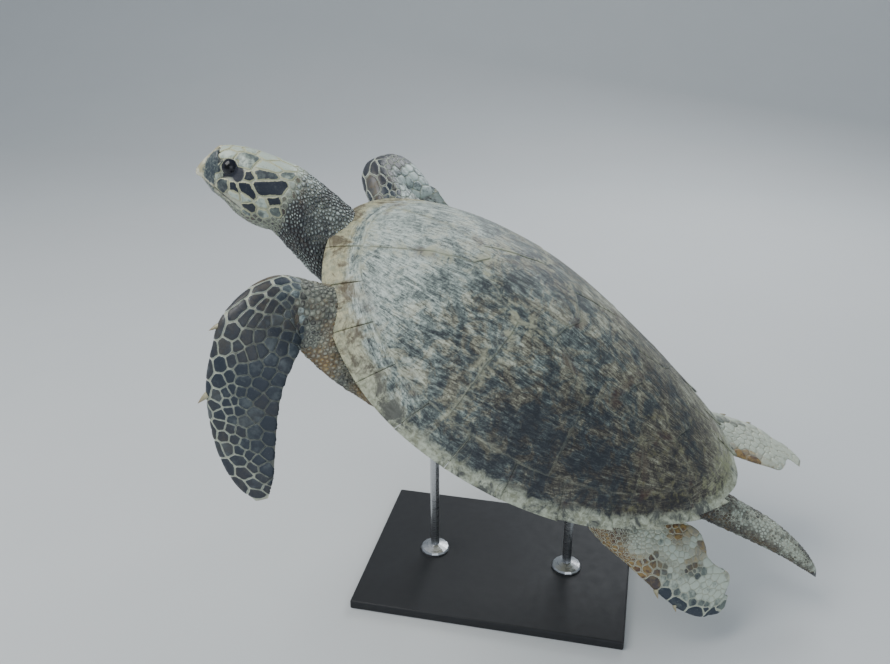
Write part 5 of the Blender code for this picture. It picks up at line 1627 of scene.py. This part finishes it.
# places kept bare: the eye with its lids, the patch behind it, and the mouth
BARE_PLACES = ((64.0, 27.5, 31, 27, 60, 0.0), (80.0, 23.5, 17, 20, 0, 0.0)) + tuple(
    (back, -0.36 * (back - 7.5), 8, 4, -20, 0.0) for back in (45.0, 52.0, 59.0, 66.0, 73.0, 80.0, 86.0))
# shields along the midline of the crown, their pale tones painted light from above
MIDLINE_SHIELDS = ((85.0, 0.0, 24, 22, 0, 0.08), (112.0, 0.0, 30, 26, 0, 0.05))


def spot_on_head(misfit):
    """X and Y on the unrolled head where the misfit is least."""
    row, column = np.unravel_index(np.argmin(misfit + head_only), misfit.shape)
    girth = table["girth"][row]
    y = column / misfit.shape[1] * girth
    return np.array([table["run"][row], y - girth if y > girth / 2 else y])


def shield_at(side, on_crown, back, other, length, breadth, tilt, shade):
    """One shield's middle, its shape as an ellipse on the unrolled head, and its tone."""

    def find(b, o):
        if on_crown:
            return spot_on_head((hy - b) ** 2 + (hx - side * o) ** 2 + (hz < 0.02))
        return spot_on_head((hy - b) ** 2 + (hz - o) ** 2 + (hx * side < 0.004))

    back, other, length, breadth = (v / 1000 for v in (back, other, length, breadth))
    turn = math.radians(tilt)
    middle = find(back, other)
    ahead = find(back + 0.006 * math.cos(turn), other + 0.006 * math.sin(turn)) - middle
    ahead = unit(ahead if np.linalg.norm(ahead) > 1e-4 else np.array([1.0, 0.0]))
    across = np.array([-ahead[1], ahead[0]])
    shape = np.outer(ahead, ahead) * (2 / length) ** 2 + np.outer(across, across) * (2 / breadth) ** 2
    return middle, shape, shade


hx, hy, hz = (table_in_head[..., n] for n in range(3))
head_only = 10.0 * (table["run"] > 0.18)[:, None]
found = [shield_at(1, True, *one) for one in MIDLINE_SHIELDS]
for side in (1, -1):
    found += [shield_at(side, False, *one) for one in CHEEK_SHIELDS]
    found += [shield_at(side, True, *one) for one in CROWN_SHIELDS]
    found += [shield_at(side, False, *one) for one in BARE_PLACES]
shield_places, shield_shapes, shield_tones = (np.array([f[n] for f in found]) for n in range(3))


def head_size(x, y):
    """Filling scales of the head, and the beads of the neck."""
    neck = climb(x, 0.125, 0.02)
    return (0.0090 * (1 - neck) + 0.0070 * neck) * (0.72 + 0.56 * value_noise(x * 90, y * 90, 12))


def off_the_head(places):
    """True where no scale stands: on the eyes and lids, and along the mouth."""
    spots = to_head(lie_on(table, places[:, 0], places[:, 1], np.zeros(len(places))))
    shut = np.minimum(*(almond(spots, m)[0] for m in (1, -1))) < 1.28
    along_mouth = (np.abs(over_mouth(spots)) < 0.0025) & (spots[:, 1] < MOUTH_CORNER + 0.002)
    return shut | (behind_eye(spots) > 0.3) | along_mouth


places, sizes, reach = settle(table, head_size, 0.004, table["run"][-1] - 0.02, 5, shield_places,
                              shield_shapes, 8, off_the_head, apart=0.60)
tone, warm = scale_marks("head", places, 43)
match = np.linalg.norm(places[:, None] - shield_places[None], axis=-1)
is_shield = match.min(1) < 1e-6
tone[is_shield] = shield_tones[match.argmin(1)[is_shield]]
warm[is_shield] = 0.0
cheek_horn = scale_finish("cheek_scale", (0.010, 0.016, 0.030), (0.11, 0.135, 0.13), (0.50, 0.58, 0.50),
                          (0.52, 0.52, 0.33), margin=0.0021, roughness=0.38)
jaw_horn = scale_finish("jaw_scale", (0.035, 0.032, 0.035), (0.16, 0.17, 0.14), (0.46, 0.53, 0.46),
                        (0.40, 0.44, 0.34), margin=0.0011, roughness=0.40)
# The neck beads carry a strong painted highlight on their tops.
neck_horn = scale_finish("neck_bead", (0.030, 0.034, 0.042), (0.13, 0.145, 0.14), (0.50, 0.57, 0.53),
                         (0.035, 0.036, 0.040), margin=0.0007, top_highlight=0.75, rough=1.6)
on_head = (places[:, 0] < 0.132) | is_shield
for part, chosen, rings, around, gap, finish in (
        ("shields", is_shield, PLATE_RINGS, 36, 0.0010, cheek_horn),
        ("small_head_scales", on_head & ~is_shield, PLATE_RINGS, 14, 0.0008, jaw_horn),
        ("neck_beads", ~on_head, BEAD_RINGS, 9, 0.0008, neck_horn)):
    cells = [v[chosen] for v in (places, reach, tone, warm, np.zeros(len(places)))]
    scale_coat(part, table, cells, 0.0015 if part == "neck_beads" else 0.0010, gap, rings, around, finish,
               lean=0.08 if part == "shields" else 0.2)


# ---------------------------------------------------------------- the skin's own markings
# Between the scales the skin is cream on the blades, dark on the neck and brown at the roots.

def skin_finish():
    made, tree, shader = finish_material("turtle_skin", 0.55, Subsurface_Weight=0.05, Subsurface_Scale=0.004)
    place = object_place(tree)
    tone, warm, lid = (attribute(tree, key) for key in ("tone", "warm", "lid"))
    mottle = noise(place, 70.0, 6.0, 0.65)
    cells = node(tree, "ShaderNodeTexVoronoi", {"Vector": place, "Scale": 330.0}, feature="F1")
    grain = cells.outputs["Distance"]
    creases = noise(place, 260.0, 4.0, 0.6, 1.5)
    shade = plus(tone, swing(mottle, 0.2))
    colour = blend(ramp(shade, 0.1, 0.5), (0.52, 0.54, 0.43), (0.17, 0.18, 0.155))
    colour = blend(ramp(shade, 0.45, 0.9), colour, (0.030, 0.036, 0.045))
    colour = blend(times(warm, 0.8), colour, (0.22, 0.12, 0.04))
    # lid darkens the skin round and behind the eyes, and paints shade along the mouth and in the nostrils.
    colour = blend(lid, colour, (0.016, 0.020, 0.034))
    low = bump(grain, 0.0005, 0.6)
    feed(tree, shader, Base_Color=colour, Normal=bump(creases, 0.0005, 0.5, low))
    return made


def skin_marks():
    """Tone, warmth and lid colour of each skin point: the markings of the nearest length, dark skin round
    and behind the eyes, and painted shade along the mouth and in the nostrils.
    """
    near = []
    for k, limb_name in enumerate(marks):
        t = tables[limb_name]
        points = t["points"][::4, ::4]
        y = np.linspace(0, 1, points.shape[1] + 1)[None, :-1] * t["girth"][::4, None]
        x = np.broadcast_to(t["run"][::4, None], y.shape)
        near.append((points.reshape(-1, 3), x.ravel(), y.ravel(), np.full(x.size, k)))
    points, xs, ys, owner = (np.concatenate(rows) for rows in zip(*near))
    tree = KDTree(len(points))
    for index, point in enumerate(points):
        tree.insert(point, index)
    tree.balance()
    back = POSE.inverted()
    spots = [back @ v.co for v in skin.data.vertices]
    found = [tree.find(p) for p in spots]
    pick = np.array([f[1] for f in found])
    far = np.array([f[2] for f in found])
    local = np.array([p[:] for p in spots])
    tone, warm = np.full(len(pick), 0.25), np.zeros(len(pick))
    for k, limb_name in enumerate(marks):
        here = owner[pick] == k
        x, y = xs[pick][here], ys[pick][here]
        t, w = marks[limb_name](x, y)
        if limb_name == "head":
            shade = np.where(x < 0.12, 0.12 + 0.1 * t, 0.80 * t)
        elif limb_name.startswith("front"):
            inner = climb(np.minimum(y, girth_at(tables[limb_name], x) - y), 0.020, 0.05)
            shade = np.where(x > 0.175, 0.05 + 0.50 * inner * (limb_name == "front_left"), 0.50)
        elif limb_name.startswith("hind"):
            shade = np.where(x > 0.125, 0.12, 0.2 + 0.4 * t)
        else:
            shade = 0.75 * t
        tone[here], warm[here] = shade, w
    under = climb(far, 0.004, 0.02)
    tone, warm = tone * (1 - under) + 0.22 * under, warm * (1 - under)
    in_head = to_head(local)
    # Painted shadow: a dark line along the mouth, under the overhang of the upper jaw; painted shade also
    # fills the nostril slits.
    lid = np.exp(-(over_mouth(in_head) / 0.0012) ** 2)
    lid = 0.8 * lid * ((in_head[:, 1] < MOUTH_CORNER) & (in_head[:, 1] > 0))
    lid = np.maximum(lid, in_nostril(in_head)) + behind_eye(in_head)
    for mirror in (1, -1):
        share, way, away, rear = almond(in_head, mirror)
        close = climb(EYE_RADIUS + 0.0120, away, 0.003)
        lid = np.maximum(lid, close * fall(share, 1.50, 0.12))
        pale = capped(1.3 - np.abs(share - 1.10) / 0.05) * capped((rear + 0.1) / 0.15) * close
        lid, tone = lid * (1 - pale), tone * (1 - pale)
    return tone, warm, capped(lid)


tone, warm, lid = skin_marks()
give(skin, tone=tone, warm=warm, lid=lid)
skin.data.materials.clear()
skin.data.materials.append(skin_finish())
skin.data.polygons.foreach_set("material_index", np.zeros(len(skin.data.polygons), np.int32))
skin.data.shade_smooth()


# ================================================================ beak
# Two sheaths of hard horn over the jaws: cream along the ridge and the cutting edge, smoky at the
# sides. The upper one closes over the lower one along the mouth.

def beak_finish():
    made, tree, shader = finish_material("beak_horn", 0.36, Coat_Weight=0.2, Coat_Roughness=0.25)
    place = object_place(tree)
    smoke, hole = attribute(tree, "smoke"), attribute(tree, "hole")
    mottle = noise(place, 210.0, 5.0, 0.7, 0.5)
    cloud = noise(place, 70.0, 3.0)
    horn_colour = blend(ramp(cloud, 0.35, 0.65), (0.46, 0.42, 0.26), (0.74, 0.73, 0.58))
    shade = plus(smoke, swing(mottle, 0.34))
    colour = blend(ramp(shade, 0.25, 0.75), horn_colour, (0.16, 0.19, 0.18))
    colour = blend(ramp(shade, 0.65, 1.10), colour, (0.040, 0.054, 0.068))
    # Painted shade: the nostril slits are darkened.
    colour = blend(ramp(hole, 0.35, 0.6), colour, (0.018, 0.008, 0.010))
    feed(tree, shader, Base_Color=colour, Normal=bump(mottle, 0.0003, 0.7))
    return made


def sheath(name, upper, out, back_row):
    """Beak sheath: the head's surface pushed out a little, cut along the mouth, and closed.

    Thin ridges of growth run across it, 0.15 mm high, and its rear edge is rolled back to the skin."""
    s_grid, a_grid = lattice(np.linspace(0.0, back_row, 72), turns(160))
    points = to_head(head_surface(s_grid, a_grid))
    fade = climb(back_row, s_grid, back_row * 0.07) ** 0.5
    growth = 0.00015 * np.sin(2 * math.pi * (points[..., 1] + 0.3 * points[..., 2]) / 0.0031
                              + 5 * value_noise(points[..., 1] * 90, points[..., 2] * 90, 2))
    points = points + outward(points) * ((out + growth) * fade - 0.0004 * (1 - fade))[..., None]
    made = closed_loft(name, points, [[0, 0.0010, 0.0012], points[-1].mean(0)], beak_horn)
    bm = bmesh.new()
    bm.from_mesh(made.data)
    cut_normal = Vector((0, -MOUTH_SLOPE, 1)).normalized() * (1 if upper else -1)
    spot = Vector((0, MOUTH_START, 0)) + cut_normal * (-0.0002 if upper else 0.0004)
    cut_edges = bmesh.ops.bisect_plane(bm, geom=bm.verts[:] + bm.edges[:] + bm.faces[:], plane_co=spot,
                                       plane_no=cut_normal, clear_inner=True, dist=1e-6)["geom_cut"]
    bmesh.ops.contextual_create(bm, geom=[e for e in cut_edges if isinstance(e, bmesh.types.BMEdge)])
    bmesh.ops.recalc_face_normals(bm, faces=bm.faces)
    bm.to_mesh(made.data)
    bm.free()
    local = np.array([v.co[:] for v in made.data.vertices])
    smoke = climb(local[:, 1], 0.012, 0.012)
    if upper:
        smoke *= climb(np.abs(local[:, 0]), 0.0085, 0.005)
        smoke *= climb(over_mouth(local), 0.002, 0.004)
    give(made, smoke=smoke if upper else smoke * 0.75, hole=in_nostril(local))
    made.data.transform(POSE @ Matrix(HEAD.tolist()))
    made.data.set_sharp_from_angle(angle=math.radians(45))
    fit(made, "beak", "beak_upper" if upper else "beak_lower")


beak_horn = beak_finish()
sheath("beak_top", True, 0.0009, 4.55 / LAST_ROW)
sheath("beak_bottom", False, 0.0003, 4.40 / LAST_ROW)


# ================================================================ eyes
# Dark, wet eyeballs with a brown iris that barely shows, set under thick lids.

def eye_finish():
    made, tree, shader = finish_material("wet_eye", 0.16, Specular_IOR_Level=0.35, Coat_Weight=0.12,
                                         Coat_Roughness=0.10)
    turn = attribute(tree, "turn")
    fibres = noise(object_place(tree), 700.0, 3.0)
    iris = blend(fibres, (0.004, 0.005, 0.011), (0.014, 0.014, 0.020))
    colour = blend(ramp(turn, 0.30, 0.34), (0.001, 0.001, 0.002), iris)
    colour = blend(ramp(turn, 0.62, 0.72), colour, (0.004, 0.006, 0.014))
    feed(tree, shader, Base_Color=colour)
    return made


def eyeball(name, mirror, finish):
    """Sphere about the eye's centre with a clear bulge in front; turn is the angle off its axis."""
    axis = unit(EYE_AXIS * [mirror, 1, 1])
    side = unit(np.cross(axis, [0, 0, 1.0]))
    up = np.cross(side, axis)
    t, b = lattice(np.linspace(0, math.pi, 42)[1:-1], turns(72))
    ct, st, cb, sb = (wave[..., None] for wave in (np.cos(t), np.sin(t), np.cos(b), np.sin(b)))
    way = ct * axis + st * (cb * side + sb * up)
    radius = EYE_RADIUS - 0.0004 + 0.0005 * np.exp(-(t / 0.5) ** 2)
    centre = EYE_PLACE * [mirror, 1, 1]
    poles = np.array([centre + axis * (EYE_RADIUS + 0.0001), centre - axis * (EYE_RADIUS - 0.0004)])
    ball = centre + way * radius[..., None]
    made = closed_loft(name, posed(from_head(ball)), posed(from_head(poles)), finish)
    give(made, turn=np.concatenate([t.ravel(), [0.0, math.pi]]))
    return made


wet = eye_finish()
for side_name, mirror in (("left", 1), ("right", -1)):
    fit(eyeball(f"eyeball_{side_name}", mirror, wet), "eyes", f"eye_{side_name}")


# ================================================================ claws and tail nail
# Two short curved claws on the front edge of each flipper, and the black nail that tips the tail.

def claw_finish(name, root_colour, tip_colour):
    made, tree, shader = finish_material(name, 0.32, Coat_Weight=0.2, Coat_Roughness=0.2)
    grow = attribute(tree, "grow")
    mottle = noise(object_place(tree), 300.0, 4.0)
    share = plus(grow, swing(mottle, 0.15))
    feed(tree, shader, Base_Color=blend(ramp(share, 0.1, 0.9), root_colour, tip_colour),
         Normal=bump(mottle, 0.0002, 0.5))
    return made


def nail(name, node_name, root, way, bend, length, radius, finish):
    """Tapering curved cone: radius * (1 - u^1.5) at u along an arc from root, bent towards bend."""
    way, bend = unit(np.asarray(way, float)), unit(np.asarray(bend, float))
    side = unit(np.cross(way, bend))
    up = np.cross(side, way)
    ug, ag = lattice(np.linspace(0, 0.985, 22), turns(24))
    centre = np.asarray(root) + way * (ug * length)[..., None] + bend * (0.22 * length * ug**2)[..., None]
    wide = radius * (1 - ug**1.5) + radius * 0.05
    points = centre + side * (wide * np.cos(ag) * 1.1)[..., None]
    points = points + up * (wide * np.sin(ag) * 0.85)[..., None]
    poles = np.array([np.asarray(root), centre[-1, 0] + way * length * 0.02])
    made = closed_loft(name, posed(points), posed(poles), finish)
    give(made, grow=np.concatenate([ug.ravel(), [0.0, 1.0]]))
    fit(made, "claws", node_name)


claw_horn = claw_finish("claw_horn", (0.45, 0.42, 0.28), (0.30, 0.24, 0.14))
# each claw's ring on its limb, its length and its radius at the root
FRONT_CLAWS = ((7, 0.015, 0.0045), (11, 0.019, 0.0058))
HIND_CLAWS = ((6, 0.013, 0.0042), (8, 0.010, 0.0032))
clawed = (("front", "left", FRONT_LEFT, 1), ("front", "right", FRONT_RIGHT, -1),
          ("hind", "left", HIND_LEFT, 1), ("hind", "right", HIND_RIGHT, -1))
for end, side_name, stations, mirror in clawed:
    hind = end == "hind"
    centre, chord, _, along = station_rows(stations, 17 if hind else 19, hind)
    centre, chord, along = (rows * np.array([mirror, 1, 1]) for rows in (centre, chord, along))
    for number, (ring, length, radius) in enumerate(HIND_CLAWS if hind else FRONT_CLAWS, 1):
        edge = centre[ring] + chord[ring] * 0.5
        way = unit(unit(chord[ring]) + along[ring] * (1.1 if hind else 0.8))
        nail(f"{end}_nail_{side_name}_{number}", f"{end}_claw_{side_name}_{number}",
             edge - way * length * 0.2, way, along[ring], length * 0.96, radius, claw_horn)

tip = tables["tail"]["points"][-1].mean(0)
heading = unit(tip - tables["tail"]["points"][-8].mean(0))
nail("tail_tip_nail", "tail_nail", tip - heading * 0.004, heading, (0, 0, -1.0), 0.0175, 0.0068,
     claw_finish("nail_horn", (0.022, 0.020, 0.022), (0.006, 0.006, 0.009)))
